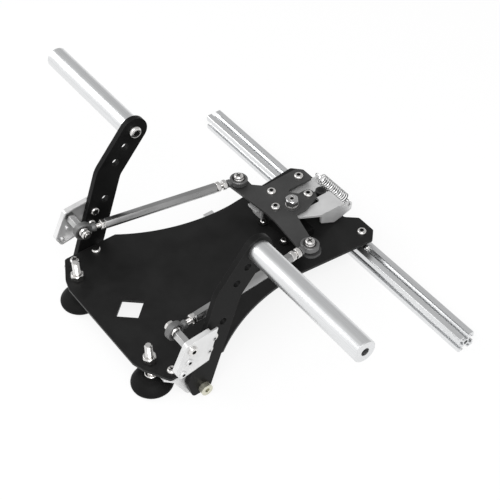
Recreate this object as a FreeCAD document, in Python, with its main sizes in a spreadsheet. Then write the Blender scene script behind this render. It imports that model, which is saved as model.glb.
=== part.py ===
import FreeCAD, Part
import math
import os

import Sketcher

# Flight sim rudder pedals, in millimetres.
# The origin is on the floor under the middle of the crossbar. +Z is up, +Y points away from the user
# towards the feet end, and +X is the user's right. The right-hand pieces are modelled and mirrored in x = 0.

SIZES = {
    # general clearances and screw sizes, as radii, head heights and widths across flats
    "running_fit": 0.04,
    "side_play": 0.1,
    "hole_fit": 0.1,
    "touch_gap": 0.2,
    "m4_radius": 2.0,
    "m5_radius": 2.5,
    "m5_head_radius": 4.75,
    "m5_head_height": 2.75,
    "m6_radius": 3.0,
    "m6_head_radius": 5.25,
    "m6_head_height": 3.3,
    "m6_nut_flats": 10.0,
    "m6_nut_height": 5.0,
    "thread_proud": 1.0,
    "m8_radius": 4.0,
    "m8_head_radius": 7.0,
    "m8_head_height": 4.4,
    "m8_nut_flats": 13.0,
    "m8_nut_height": 8.0,
    "m8_jam_height": 5.0,
    "socket_share": 0.62,
    "socket_flats_share": 0.75,
    # crossbar: slotted extrusion
    "bar_length": 450.0,
    "bar_width": 20.0,
    "bar_corner": 1.5,
    "bar_bore": 2.5,
    "slot_mouth": 6.5,
    "slot_lip": 1.8,
    "slot_room": 11.5,
    "slot_shoulder": 1.2,
    "slot_depth": 6.0,
    "slot_floor": 5.2,
    "t_nut_length": 16.0,
    "t_nut_play": 0.1,
    # spacers between crossbar and base plate
    "spacer_x": 57.0,
    "spacer_height": 13.0,
    "spacer_radius": 6.0,
    # base plate
    "plate_thickness": 3.0,
    "plate_front": 297.5,
    "plate_half_width": 102.5,
    "plate_wide_start": 216.0,
    "plate_wide_end": 279.0,
    "plate_chamfer_x": 76.0,
    "plate_chamfer_y": 293.5,
    "plate_nose_x": 62.0,
    "waist_x": 64.6,
    "waist_y": 90.0,
    "flare_radius": 207.0,
    "tab_outer_x": 73.0,
    "tab_outer_y": -2.0,
    "tab_toe_outer_x": 62.0,
    "tab_toe_inner_x": 38.0,
    "tab_toe_y": -12.3,
    "tab_root_x": 27.0,
    "tab_corner": 4.0,
    "window_y": 261.0,
    "window_half_width": 15.5,
    "window_half_depth": 17.0,
    # adjustable feet
    "foot_x": 70.0,
    "foot_y": 282.0,
    "foot_sole_radius": 20.0,
    "foot_radius": 22.3,
    "foot_bulge_height": 5.0,
    "foot_shoulder_radius": 17.5,
    "foot_shoulder_height": 12.0,
    "foot_top_radius": 9.5,
    "foot_height": 15.0,
    "neck_radius": 7.0,
    "neck_height": 2.5,
    "stud_top": 60.0,
    # pivot brackets
    "bracket_outer_x": 103.6,
    "bracket_inner_x": 79.0,
    "bracket_thickness": 3.0,
    "bracket_rear": 236.5,
    "bracket_front": 283.5,
    "bracket_corner": 7.0,
    "bracket_bend": 2.8,
    "leg_toe_y": 262.0,
    "leg_heel_y": 237.0,
    "leg_bottom": 2.0,
    "leg_corner": 8.0,
    "bracket_screw_x": 93.8,
    "bracket_screw_front": 271.7,
    "bracket_screw_rear": 245.0,
    # pedal pivot
    "pivot_y": 247.0,
    "pivot_z": 10.0,
    "bush_flange": 1.5,
    "bush_flange_radius": 8.0,
    "bush_radius": 5.0,
    "shoulder_radius": 4.0,
    "shoulder_head_radius": 6.5,
    "shoulder_head_height": 6.0,
    # pedal arm
    "arm_thickness": 6.0,
    "arm_width": 31.0,
    "bend_y": 212.3,
    "bend_z": 120.6,
    "shin_y": 254.3,
    "toe_y": 260.5,
    "toe_z": 25.0,
    "sole_z": 4.0,
    "height_hole_pitch": 19.5,
    "spare_hole_y": 220.5,
    "spare_hole_z": 90.0,
    # foot bar
    "foot_bar_y": 176.65,
    "foot_bar_z": 160.0,
    "foot_bar_radius": 11.8,
    "foot_bar_length": 154.2,
    "foot_bar_chamfer": 0.8,
    "foot_bar_grip": 30.0,
    "foot_bar_bore": 4.25,
    "toe_corner": 5.0,
    # rod bracket on the pedal arm, with its corners and holes measured from the outer ball
    "tray_gap": 4.0,
    "tray_wall": 2.0,
    "tray_rear_top_y": -30.5,
    "tray_rear_top_z": 11.5,
    "tray_front_top_y": 5.5,
    "tray_front_top_z": 9.0,
    "tray_nose_y": 21.0,
    "tray_nose_z": -21.0,
    "tray_low_y": 15.5,
    "tray_low_z": -32.5,
    "tray_rear_low_y": -17.5,
    "tray_rear_low_z": -27.0,
    "tray_corner": 4.0,
    "tray_bolt_top_y": -26.0,
    "tray_bolt_top_z": -1.0,
    "tray_bolt_low_y": -19.5,
    "tray_bolt_low_z": -15.2,
    "tray_spacer_radius": 5.0,
    "middle_hole_y": 4.5,
    "middle_hole_z": -14.7,
    "lower_hole_y": 12.5,
    "lower_hole_z": -26.8,
    # push rods and rod ends
    "outer_ball_x": 86.0,
    "outer_ball_y": 260.5,
    "outer_ball_z": 81.0,
    "inner_ball_x": 63.3,
    "inner_ball_y": 77.0,
    "ball_radius": 6.35,
    "ball_width": 9.0,
    "rod_end_radius": 10.0,
    "rod_end_width": 6.75,
    "rod_end_neck": 4.5,
    "neck_root": 1.5,
    "neck_end": 14.5,
    "race_thickness": 0.8,
    "race_width": 2.4,
    "race_play": 0.16,
    "open_joint_gap": 0.65,
    "rod_flats": 10.0,
    "jam_nut_flats": 10.4,
    "inner_nut_start": 16.0,
    "second_nut_start": 23.5,
    "outer_nut_start": 20.0,
    # crank plate on the upright post
    "post_y": 52.0,
    "crank_z": 60.0,
    "crank_thickness": 3.0,
    "crank_arm_end": 75.5,
    "crank_arm_half": 11.0,
    "crank_front": 81.0,
    "crank_front_x": 8.0,
    "crank_hip_x": 43.0,
    "crank_hip_y": 57.0,
    "crank_shoulder_x": 53.0,
    "crank_waist_x": 14.0,
    "crank_waist_y": 43.0,
    "lobe_outer_x": 44.0,
    "lobe_cut": 6.0,
    "lobe_inner_x": 21.5,
    "lobe_end_y": 7.0,
    "notch_y": 45.0,
    "pin_lobe_half": 7.5,
    "crank_corner": 3.0,
    "arm_end_flat": 1.5,
    "shoulder_rise": 1.0,
    "crank_hub_radius": 9.0,
    "crank_hub_rise": 0.8,
    "bolt_a_x": 30.0,
    "bolt_a_y": 57.0,
    "bolt_b_x": 8.0,
    "bolt_b_y": 68.0,
    "bolt_c_x": 32.0,
    "bolt_c_y": 18.0,
    # post, pins and sleeves
    "post_radius": 5.0,
    "post_thread_end": 76.0,
    "washer_radius": 8.5,
    "washer_height": 1.5,
    "pin_x": 3.0,
    "drive_pin_y": 27.5,
    "fixed_pin_y": 9.5,
    "sleeve_radius": 6.0,
    "sleeve_bottom": 51.5,
    "sleeve_top": 59.3,
    "pin_shaft_radius": 4.8,
    "pin_flange_radius": 7.0,
    "pin_flange_height": 3.0,
    "pin_tip_height": 1.0,
    # scissor levers
    "lever_thickness": 3.0,
    "right_lever_z": 52.0,
    "left_lever_z": 56.0,
    "lever_hub_radius": 11.0,
    "lever_outer_x": 28.0,
    "lever_end_y": 2.4,
    "lever_corner": 3.0,
    "flange_rear_y": 33.0,
    "flange_tip_y": -10.0,
    "flange_step_y": 5.0,
    "flange_low_y": -8.5,
    "flange_low_z": 43.5,
    "flange_heel_y": 15.0,
    "flange_heel_z": 37.5,
    "flange_heel_rise": 9.0,
    "hook_hole_radius": 1.8,
    "lever_bay_depth": 6.3,
    "lever_bay_low_y": 20.5,
    "lever_bay_high_y": 36.0,
    # spring
    "spring_y": -5.0,
    "spring_z": 55.4,
    "spring_radius": 6.0,
    "wire_radius": 0.65,
    "coil_end_x": 20.5,
    "loop_radius": 3.4,
    # pivot housing
    "housing_half_width": 28.0,
    "housing_rear": 43.0,
    "housing_front": 73.0,
    "housing_height": 9.0,
    "housing_ridge": 16.0,
    "housing_ridge_depth": 8.0,
    "housing_corner": 2.5,
    "boss_radius": 10.0,
    "boss_gap": 0.4,
    "ear_x": 18.5,
    "ear_y": 77.0,
    "ear_radius": 5.0,
    "ear_corner": 4.5,
    "ear_height": 3.0,
    # sensor bracket
    "angle_inner_x": 24.0,
    "angle_outer_x": 40.0,
    "angle_wall": 2.5,
    "angle_height": 16.0,
    "angle_depth": 9.0,
    # electronics box under the plate, with its socket
    "box_inner_x": -6.0,
    "box_outer_x": 62.0,
    "box_rear": 94.0,
    "box_front": 132.0,
    "box_height": 15.0,
    "box_corner": 2.5,
    "socket_y": 113.0,
    "socket_length": 12.5,
    "socket_width": 12.0,
    "socket_height": 10.8,
    "socket_wall": 0.7,
    "socket_depth": 9.0,
}

document = FreeCAD.newDocument("rudder_pedals")
sheet = document.addObject("Spreadsheet::Sheet", "Sizes")
for row, (name, value) in enumerate(SIZES.items(), start=1):
    sheet.set(f"A{row}", name)
    sheet.set(f"B{row}", str(value))
    sheet.setAlias(f"B{row}", name)
derived = document.addObject("App::VarSet", "Derived")
document.recompute()


class Size:
    """A length or ratio that carries both its number and the expression that gives it in the document."""

    def __init__(self, text, number):
        self.text = text
        self.number = number

    def __add__(self, other):
        return Size(f"({self.text} + {text_of(other)})", self.number + number_of(other))

    def __radd__(self, other):
        return Size(f"({text_of(other)} + {self.text})", number_of(other) + self.number)

    def __sub__(self, other):
        return Size(f"({self.text} - {text_of(other)})", self.number - number_of(other))

    def __rsub__(self, other):
        return Size(f"({text_of(other)} - {self.text})", number_of(other) - self.number)

    def __mul__(self, other):
        return Size(f"({self.text} * {text_of(other)})", self.number * number_of(other))

    def __rmul__(self, other):
        return Size(f"({text_of(other)} * {self.text})", number_of(other) * self.number)

    def __truediv__(self, other):
        return Size(f"({self.text} / {text_of(other)})", self.number / number_of(other))

    def __neg__(self):
        return Size(f"(-1 * {self.text})", -self.number)


class SizeSheet:
    """The cells of the sheet by alias, as sizes."""

    def __getattr__(self, name):
        return Size(f"Sizes.{name}", SIZES[name])


S = SizeSheet()


def number_of(value):
    return value.number if isinstance(value, Size) else float(value)


def text_of(value):
    return value.text if isinstance(value, Size) else repr(float(value))


def root(value):
    return Size(f"sqrt({value.text})", math.sqrt(value.number))


def square(value):
    return value * value


def keep(name, value):
    """Store a worked-out size in the document under a name, so that later expressions stay short."""
    derived.addProperty("App::PropertyFloat", name)
    derived.setExpression(name, value.text)
    return Size(f"Derived.{name}", value.number)


def bind(thing, property_name, value):
    if isinstance(value, Size):
        thing.setExpression(property_name, value.text)
    else:
        setattr(thing, property_name, value)


# Worked-out levels and faces that several pieces share

plate_bottom = keep("plate_bottom", S.bar_width + S.spacer_height)
plate_top = keep("plate_top", plate_bottom + S.plate_thickness)
arm_inner = keep("arm_inner", S.bracket_outer_x + S.bush_flange + 2 * S.side_play)
arm_outer = keep("arm_outer", arm_inner + S.arm_thickness)
tray_outer = keep("tray_outer", arm_outer + S.tray_gap + S.tray_wall)
bolt_top_y = keep("bolt_top_y", S.outer_ball_y + S.tray_bolt_top_y)
bolt_top_z = keep("bolt_top_z", S.outer_ball_z + S.tray_bolt_top_z)
bolt_low_y = keep("bolt_low_y", S.outer_ball_y + S.tray_bolt_low_y)
bolt_low_z = keep("bolt_low_z", S.outer_ball_z + S.tray_bolt_low_z)
crank_top = keep("crank_top", S.crank_z + S.crank_thickness)
inner_ball_z = keep("inner_ball_z", crank_top + S.ball_width / 2)
run_x = S.outer_ball_x - S.inner_ball_x
run_y = S.outer_ball_y - S.inner_ball_y
run_z = S.outer_ball_z - inner_ball_z
rod_length = keep("rod_length", root(square(run_x) + square(run_y) + square(run_z)))
thigh_run = keep("thigh_run", root(square(S.bend_y - S.foot_bar_y) + square(S.bend_z - S.foot_bar_z)))
thigh_y = keep("thigh_y", (S.bend_y - S.foot_bar_y) / thigh_run)
thigh_z = keep("thigh_z", (S.bend_z - S.foot_bar_z) / thigh_run)
shin_run = keep("shin_run", root(square(S.shin_y - S.bend_y) + square(S.pivot_z - S.bend_z)))
shin_y = keep("shin_y", (S.shin_y - S.bend_y) / shin_run)
shin_z = keep("shin_z", (S.pivot_z - S.bend_z) / shin_run)

ALONG_X = FreeCAD.Rotation(FreeCAD.Vector(0, 1, 0), 90)
AGAINST_X = FreeCAD.Rotation(FreeCAD.Vector(0, 1, 0), -90)
ORIGIN = -1
START = 1
END = 2
CENTRE = 3
HEIGHT_HOLES = 3
SPRING_TURNS = 15
STEPS_A_TURN = 10
SHARP_CORNERS = 1
ON_PLANE = 0.01
HOOK_TURNS = [math.radians(angle) for angle in (180, 135, 90, 45, 0, -45, -90, -130)]


# Sketching: outlines of lines, rounded corners and bowed edges, each point bound to the sheet

class Bow:
    """An arc to the next point; a positive radius turns left, a negative one turns right."""

    def __init__(self, radius):
        self.radius = radius


class SketchMaker:
    """Collects geometry and constraints, then adds them to a sketch in one go."""

    def __init__(self, body, name, plane, offset=0):
        self.sketch = body.newObject("Sketcher::SketchObject", name)
        support = next(f for f in body.Origin.OriginFeatures if f.Role == plane)
        self.sketch.AttachmentSupport = [(support, "")]
        self.sketch.MapMode = "FlatFace"
        if isinstance(offset, Size):
            bind(self.sketch, "AttachmentOffset.Base.z", offset)
        self.shapes = []
        self.helpers = []
        self.constraints = []
        self.bindings = []

    def add(self, shape, helper=False):
        self.shapes.append(shape)
        self.helpers.append(helper)
        return len(self.shapes) - 1

    def limit(self, kind, *references, value=None):
        if value is None:
            self.constraints.append(Sketcher.Constraint(kind, *references))
            return
        self.constraints.append(Sketcher.Constraint(kind, *references, number_of(value)))
        if isinstance(value, Size):
            self.bindings.append((len(self.constraints) - 1, value.text))

    def locate(self, shape, point, across, up):
        self.limit("DistanceX", ORIGIN, START, shape, point, value=across)
        self.limit("DistanceY", ORIGIN, START, shape, point, value=up)

    def circle(self, across, up, radius):
        middle = FreeCAD.Vector(number_of(across), number_of(up), 0)
        shape = self.add(Part.Circle(middle, FreeCAD.Vector(0, 0, 1), number_of(radius)))
        self.limit("Radius", shape, value=radius)
        self.locate(shape, CENTRE, across, up)

    def outline(self, items):
        """A closed outline. Each item is (across, up), (across, up, corner radius) or a Bow between two points."""
        points = [item for item in items if not isinstance(item, Bow)]
        bows = {}
        count = 0
        for item in items:
            if isinstance(item, Bow):
                bows[count - 1] = item.radius
            else:
                count += 1
        places = [FreeCAD.Vector(number_of(p[0]), number_of(p[1]), 0) for p in points]
        entries, exits, corners = [], [], []
        for i, point in enumerate(points):
            before = (places[i - 1] - places[i]).normalize()
            after = (places[(i + 1) % count] - places[i]).normalize()
            if len(point) < 3:
                entries.append(places[i])
                exits.append(places[i])
                corners.append(None)
                continue
            opening = before.getAngle(after)
            run = number_of(point[2]) / math.tan(opening / 2)
            entries.append(places[i] + before * run)
            exits.append(places[i] + after * run)
            middle = places[i] + (before + after).normalize() * (number_of(point[2]) / math.sin(opening / 2))
            turn = before.cross(after).z < 0
            corners.append((middle, turn, point[2]))
        edges = [self.edge(exits[i], entries[(i + 1) % count], bows.get(i)) for i in range(count)]
        for i, point in enumerate(points):
            came, came_end = edges[i - 1][0], edges[i - 1][2]
            goes, goes_start = edges[i][0], edges[i][1]
            if corners[i] is None:
                self.limit("Coincident", came, came_end, goes, goes_start)
                self.locate(goes, goes_start, point[0], point[1])
                continue
            middle, left_turn, radius = corners[i]
            first, last = (entries[i], exits[i]) if left_turn else (exits[i], entries[i])
            arc = self.add(self.arc(middle, number_of(radius), first, last))
            arc_in, arc_out = (START, END) if left_turn else (END, START)
            self.limit("Tangent", came, came_end, arc, arc_in)
            self.limit("Tangent", arc, arc_out, goes, goes_start)
            self.limit("Radius", arc, value=radius)
            mark = self.add(Part.Point(places[i]), helper=True)
            self.limit("PointOnObject", mark, START, came)
            self.limit("PointOnObject", mark, START, goes)
            self.locate(mark, START, point[0], point[1])

    def arc(self, middle, radius, first, last):
        start = math.atan2(first.y - middle.y, first.x - middle.x)
        end = math.atan2(last.y - middle.y, last.x - middle.x)
        if end <= start:
            end += 2 * math.pi
        return Part.ArcOfCircle(Part.Circle(middle, FreeCAD.Vector(0, 0, 1), radius), start, end)

    def edge(self, first, last, bow):
        """A line or a bowed edge, as (index, its start point, its end point)."""
        if bow is None:
            return self.add(Part.LineSegment(first, last)), START, END
        radius = abs(number_of(bow))
        chord = last - first
        left = FreeCAD.Vector(-chord.y, chord.x, 0).normalize()
        depth = math.sqrt(radius ** 2 - (chord.Length / 2) ** 2)
        turns_left = number_of(bow) > 0
        middle = (first + last) * 0.5 + left * (depth if turns_left else -depth)
        if turns_left:
            shape = self.add(self.arc(middle, radius, first, last))
        else:
            shape = self.add(self.arc(middle, radius, last, first))
        self.limit("Radius", shape, value=bow if turns_left else -1 * bow)
        return (shape, START, END) if turns_left else (shape, END, START)

    def finish(self):
        self.sketch.addGeometry(self.shapes)
        for index, helper in enumerate(self.helpers):
            if helper:
                self.sketch.setConstruction(index, True)
        self.sketch.addConstraint(self.constraints)
        for index, text in self.bindings:
            self.sketch.setExpression(f"Constraints[{index}]", text)
        return self.sketch


def new_body(name):
    return document.addObject("PartDesign::Body", name)


def pad(body, name, maker, length):
    feature = body.newObject("PartDesign::Pad", name)
    feature.Profile = maker.finish()
    bind(feature, "Length", length)
    document.recompute()
    return feature


def cut_through(body, name, maker):
    """A pocket right through the body, both ways from its sketch."""
    before = body.Shape.Volume
    feature = body.newObject("PartDesign::Pocket", name)
    feature.Profile = maker.finish()
    feature.Type = "ThroughAll"
    feature.SideType = "Symmetric"
    document.recompute()
    check_cut(name, before, body.Shape.Volume)
    return feature


def cut_into(body, name, maker, depth, flip=False):
    before = body.Shape.Volume
    feature = body.newObject("PartDesign::Pocket", name)
    feature.Profile = maker.finish()
    bind(feature, "Length", depth)
    feature.Reversed = flip
    document.recompute()
    check_cut(name, before, body.Shape.Volume)
    return feature


def check_cut(name, before, after):
    if after >= before:
        raise ValueError(f"{name} cuts nothing")


def revolve(body, name, maker):
    """Turn an XZ sketch about the body's own Z axis."""
    feature = body.newObject("PartDesign::Revolution", name)
    feature.Profile = maker.finish()
    feature.ReferenceAxis = (maker.sketch, ["V_Axis"])
    feature.Angle = 360
    document.recompute()
    return feature


def turned(name, points):
    """A body turned about Z from (radius, height) points."""
    body = new_body(name)
    maker = SketchMaker(body, name + "_section", "XZ_Plane")
    maker.outline(points)
    revolve(body, name + "_turning", maker)
    return body


def tube(name, outer, inner, length):
    body = new_body(name)
    maker = SketchMaker(body, name + "_rings", "XY_Plane")
    maker.circle(0, 0, outer)
    maker.circle(0, 0, inner)
    pad(body, name + "_wall", maker, length)
    return body


def hexagon(body, kind, name, flats, length, height=0):
    """Add or take away a hexagonal prism that stands on Z."""
    feature = body.newObject(f"PartDesign::{kind}Prism", name)
    feature.Polygon = 6
    bind(feature, "Circumradius", flats / math.sqrt(3))
    bind(feature, "Height", length)
    if isinstance(height, Size):
        feature.AttachmentSupport = [(next(f for f in body.Origin.OriginFeatures if f.Role == "XY_Plane"), "")]
        feature.MapMode = "FlatFace"
        bind(feature, "AttachmentOffset.Base.z", height)
    document.recompute()
    return feature


def plain_bolt(name, radius, head_radius, head_height, length):
    """A bolt along Z: the head stands on z = 0 and the shank hangs below it."""
    return turned(name, [
        (0, -length),
        (radius, -length),
        (radius, 0),
        (head_radius, 0),
        (head_radius, head_height),
        (0, head_height),
    ])


def m5_bolt(name, length):
    return plain_bolt(name, S.m5_radius, S.m5_head_radius, S.m5_head_height, length)


def m6_bolt(name, length):
    return plain_bolt(name, S.m6_radius, S.m6_head_radius, S.m6_head_height, length)


def place(thing, x=0, y=0, z=0, turn=FreeCAD.Rotation()):
    base = FreeCAD.Vector(number_of(x), number_of(y), number_of(z))
    thing.Placement = FreeCAD.Placement(base, turn)
    for axis, value in zip("xyz", (x, y, z)):
        if isinstance(value, Size):
            thing.setExpression("Placement.Base." + axis, value.text)
    return thing


def copy_of(body, x=0, y=0, z=0, turn=FreeCAD.Rotation()):
    link = document.addObject("App::Link", body.Name + "_copy")
    link.LinkedObject = body
    return place(link, x, y, z, turn)


def together(name, *things):
    group = document.addObject("Part::Compound", name)
    group.Links = list(things)
    return group


def mirrored(name, thing):
    twin = document.addObject("Part::Mirroring", name)
    twin.Source = thing
    twin.Normal = (1, 0, 0)
    twin.Base = (0, 0, 0)
    return twin


nodes = []


def node(label, thing):
    """Register a finished sub-part; its label names its file."""
    thing.Label = label
    nodes.append(thing)
    return thing


def both_sides(name, thing):
    """One node for a right-hand piece and its mirror twin."""
    return node(name, together(name, thing, mirrored(name + "_twin", thing)))


def left_and_right(name, thing):
    """Two nodes, one for each side."""
    node(name + "_right", thing)
    node(name + "_left", mirrored(name + "_mirror", thing))


# Crossbar: a 20 mm square extrusion with a T slot along every face

def crossbar():
    body = new_body("crossbar")
    half = S.bar_width / 2
    maker = SketchMaker(body, "bar_square", "YZ_Plane", -S.bar_length / 2)
    maker.outline([
        (-half, -half, S.bar_corner),
        (half, -half, S.bar_corner),
        (half, half, S.bar_corner),
        (-half, half, S.bar_corner),
    ])
    maker.circle(0, 0, S.bar_bore)
    pad(body, "bar_blank", maker, S.bar_length)
    roof = half - S.slot_lip
    floor = half - S.slot_depth
    maker = SketchMaker(body, "slot_section", "YZ_Plane", -S.bar_length / 2)
    maker.outline([
        (-S.slot_mouth / 2, half),
        (-S.slot_mouth / 2, roof),
        (-S.slot_room / 2, roof),
        (-S.slot_room / 2, roof - S.slot_shoulder),
        (-S.slot_floor / 2, floor),
        (S.slot_floor / 2, floor),
        (S.slot_room / 2, roof - S.slot_shoulder),
        (S.slot_room / 2, roof),
        (S.slot_mouth / 2, roof),
        (S.slot_mouth / 2, half),
    ])
    slot = cut_into(body, "slot", maker, S.bar_length, flip=True)
    pattern = body.newObject("PartDesign::PolarPattern", "slots")
    pattern.Originals = [slot]
    pattern.Axis = (maker.sketch, ["N_Axis"])
    pattern.Angle = 360
    pattern.Occurrences = 4
    body.Tip = pattern
    document.recompute()
    return node("crossbar", place(body, 0, 0, half))


def crossbar_mounts():
    spacer = tube("spacer", S.spacer_radius, S.m6_radius + S.hole_fit, S.spacer_height)
    both_sides("crossbar_spacers", place(spacer, S.spacer_x, 0, S.bar_width))
    length = S.plate_thickness + S.spacer_height + S.slot_depth - S.t_nut_play
    both_sides("crossbar_bolts", place(m6_bolt("crossbar_bolt", length), S.spacer_x, 0, plate_top))
    body = new_body("t_nut")
    play = S.t_nut_play
    roof = S.bar_width - S.slot_lip - play
    shoulder = S.bar_width - S.slot_lip - S.slot_shoulder + play / 2
    maker = SketchMaker(body, "t_nut_section", "YZ_Plane", -S.t_nut_length / 2)
    maker.outline([
        (-S.slot_room / 2 + play, roof),
        (-S.slot_room / 2 + play, shoulder),
        (-S.slot_floor / 2 + play / 2, S.bar_width - S.slot_depth + play),
        (S.slot_floor / 2 - play / 2, S.bar_width - S.slot_depth + play),
        (S.slot_room / 2 - play, shoulder),
        (S.slot_room / 2 - play, roof),
    ])
    pad(body, "t_nut_bar", maker, S.t_nut_length)
    maker = SketchMaker(body, "t_nut_ring", "XY_Plane", S.bar_width / 2)
    maker.circle(0, 0, S.m6_radius)
    cut_through(body, "t_nut_bore", maker)
    both_sides("crossbar_t_nuts", place(body, S.spacer_x, 0, 0))


# Base plate: sheet steel with tabs over the crossbar, a waist, a flare and a window

def base_plate():
    body = new_body("base_plate")
    maker = SketchMaker(body, "plate_outline", "XY_Plane")
    corner = S.tab_corner
    right = [
        (S.tab_root_x, 0, corner),
        (S.tab_toe_inner_x, S.tab_toe_y, corner),
        (S.tab_toe_outer_x, S.tab_toe_y, corner),
        (S.tab_outer_x, S.tab_outer_y, corner),
        (S.waist_x, S.waist_y),
        (S.plate_half_width, S.plate_wide_start),
        (S.plate_half_width, S.plate_wide_end, corner),
        (S.plate_chamfer_x, S.plate_chamfer_y),
        (S.plate_nose_x, S.plate_front),
    ]
    left = [(-1 * point[0],) + tuple(point[1:]) for point in reversed(right)]
    flare = Bow(-1 * S.flare_radius)
    maker.outline(right[:5] + [flare] + right[5:] + left[:4] + [flare] + left[4:])
    maker.outline([
        (0, S.window_y - S.window_half_depth),
        (S.window_half_width, S.window_y),
        (0, S.window_y + S.window_half_depth),
        (-S.window_half_width, S.window_y),
    ])
    m6_hole = S.m6_radius + S.hole_fit
    for side in (1, -1):
        maker.circle(side * S.spacer_x, 0, m6_hole)
        maker.circle(side * S.foot_x, S.foot_y, S.m8_radius + S.hole_fit)
        maker.circle(side * S.bracket_screw_x, S.bracket_screw_front, m6_hole)
        maker.circle(side * S.bracket_screw_x, S.bracket_screw_rear, m6_hole)
        maker.circle(side * S.ear_x, S.ear_y, S.m4_radius + S.hole_fit)
    maker.circle(0, S.post_y, S.post_radius)
    pad(body, "plate_sheet", maker, S.plate_thickness)
    return node("base_plate", place(body, 0, 0, plate_bottom))


# Adjustable rubber feet on M8 studs

def feet():
    pad_body = turned("foot_pad", [
        (0, 0),
        (S.foot_sole_radius, 0),
        (S.foot_radius, S.foot_bulge_height),
        (S.foot_shoulder_radius, S.foot_shoulder_height),
        (S.foot_top_radius, S.foot_height),
        (0, S.foot_height),
    ])
    both_sides("foot_pads", place(pad_body, S.foot_x, S.foot_y, 0))
    stud = turned("foot_stud", [
        (0, S.foot_height),
        (S.neck_radius, S.foot_height),
        (S.neck_radius, S.foot_height + S.neck_height),
        (S.m8_radius, S.foot_height + S.neck_height),
        (S.m8_radius, S.stud_top),
        (0, S.stud_top),
    ])
    hexagon(stud, "Additive", "foot_nut", S.m8_nut_flats, S.m8_nut_height, plate_top)
    hexagon(stud, "Additive", "foot_jam_nut", S.m8_nut_flats, S.m8_jam_height, plate_bottom - S.m8_jam_height)
    both_sides("foot_studs", place(stud, S.foot_x, S.foot_y, 0))


# Pivot brackets: bent angles that carry the pedals low down at the front corners

def pivot_brackets():
    body = new_body("pivot_bracket")
    top = plate_bottom
    maker = SketchMaker(body, "flange_outline", "XY_Plane", top - S.bracket_thickness)
    cut = S.bracket_corner
    maker.outline([
        (S.bracket_inner_x, S.bracket_rear),
        (S.bracket_outer_x, S.bracket_rear),
        (S.bracket_outer_x, S.bracket_front - cut),
        (S.bracket_outer_x - cut, S.bracket_front),
        (S.bracket_inner_x + cut, S.bracket_front),
        (S.bracket_inner_x, S.bracket_front - cut),
    ])
    maker.circle(S.bracket_screw_x, S.bracket_screw_front, S.m6_radius)
    maker.circle(S.bracket_screw_x, S.bracket_screw_rear, S.m6_radius)
    pad(body, "flange", maker, S.bracket_thickness)
    maker = SketchMaker(body, "leg_outline", "YZ_Plane", S.bracket_outer_x - S.bracket_thickness)
    maker.outline([
        (S.bracket_rear, top),
        (S.leg_heel_y, S.leg_bottom, S.leg_corner),
        (S.leg_toe_y, S.leg_bottom, S.leg_corner),
        (S.bracket_front - cut, top - S.bracket_thickness),
        (S.bracket_front - cut, top),
    ])
    maker.circle(S.pivot_y, S.pivot_z, S.m6_radius + S.running_fit)
    leg = pad(body, "leg", maker, S.bracket_thickness)
    fold = [
        f"Edge{i}" for i, edge in enumerate(leg.Shape.Edges, start=1)
        if abs(edge.CenterOfMass.x - S.bracket_outer_x.number) < ON_PLANE
        and abs(edge.CenterOfMass.z - top.number) < ON_PLANE
    ]
    bend = body.newObject("PartDesign::Fillet", "bend")
    bend.Base = (leg, fold)
    bind(bend, "Radius", S.bracket_bend)
    document.recompute()
    both_sides("pivot_brackets", body)
    screw = m6_bolt("bracket_screw", S.plate_thickness + S.bracket_thickness)
    front = copy_of(screw, S.bracket_screw_x, S.bracket_screw_front, plate_top)
    rear = copy_of(screw, S.bracket_screw_x, S.bracket_screw_rear, plate_top)
    both_sides("bracket_screws", together("bracket_screw_pair", front, rear))


# Pedal pivots: a shoulder bolt with its nut inside the bracket, and a flanged bush on it

def pedal_pivots():
    shoulder = S.bush_flange + S.arm_thickness + 3 * S.side_play
    nut_start = shoulder + S.bracket_thickness
    reach = nut_start + S.m6_nut_height + S.thread_proud
    bolt = turned("shoulder_bolt", [
        (0, -reach),
        (S.m6_radius, -reach),
        (S.m6_radius, -shoulder),
        (S.shoulder_radius, -shoulder),
        (S.shoulder_radius, 0),
        (S.shoulder_head_radius, 0),
        (S.shoulder_head_radius, S.shoulder_head_height),
        (0, S.shoulder_head_height),
    ])
    hexagon(bolt, "Additive", "pivot_nut", S.m6_nut_flats, S.m6_nut_height, -nut_start - S.m6_nut_height)
    depth = S.socket_share * S.shoulder_head_height
    hexagon(bolt, "Subtractive", "shoulder_socket", S.socket_flats_share * S.shoulder_head_radius, depth,
            S.shoulder_head_height - depth)
    place(bolt, S.bracket_outer_x + shoulder, S.pivot_y, S.pivot_z, ALONG_X)
    both_sides("pivot_bolts", bolt)
    bore = S.shoulder_radius + S.running_fit
    end = S.bush_flange + S.side_play / 2 + S.arm_thickness
    bush = turned("pivot_bush", [
        (bore, 0),
        (S.bush_flange_radius, 0),
        (S.bush_flange_radius, S.bush_flange),
        (S.bush_radius, S.bush_flange),
        (S.bush_radius, end),
        (bore, end),
    ])
    left_and_right("pivot_bush", place(bush, S.bracket_outer_x + S.side_play, S.pivot_y, S.pivot_z, ALONG_X))


# Pedal arm: a flat bar that follows two straight centre lines, from the foot bar to the bend and down the shin

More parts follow.
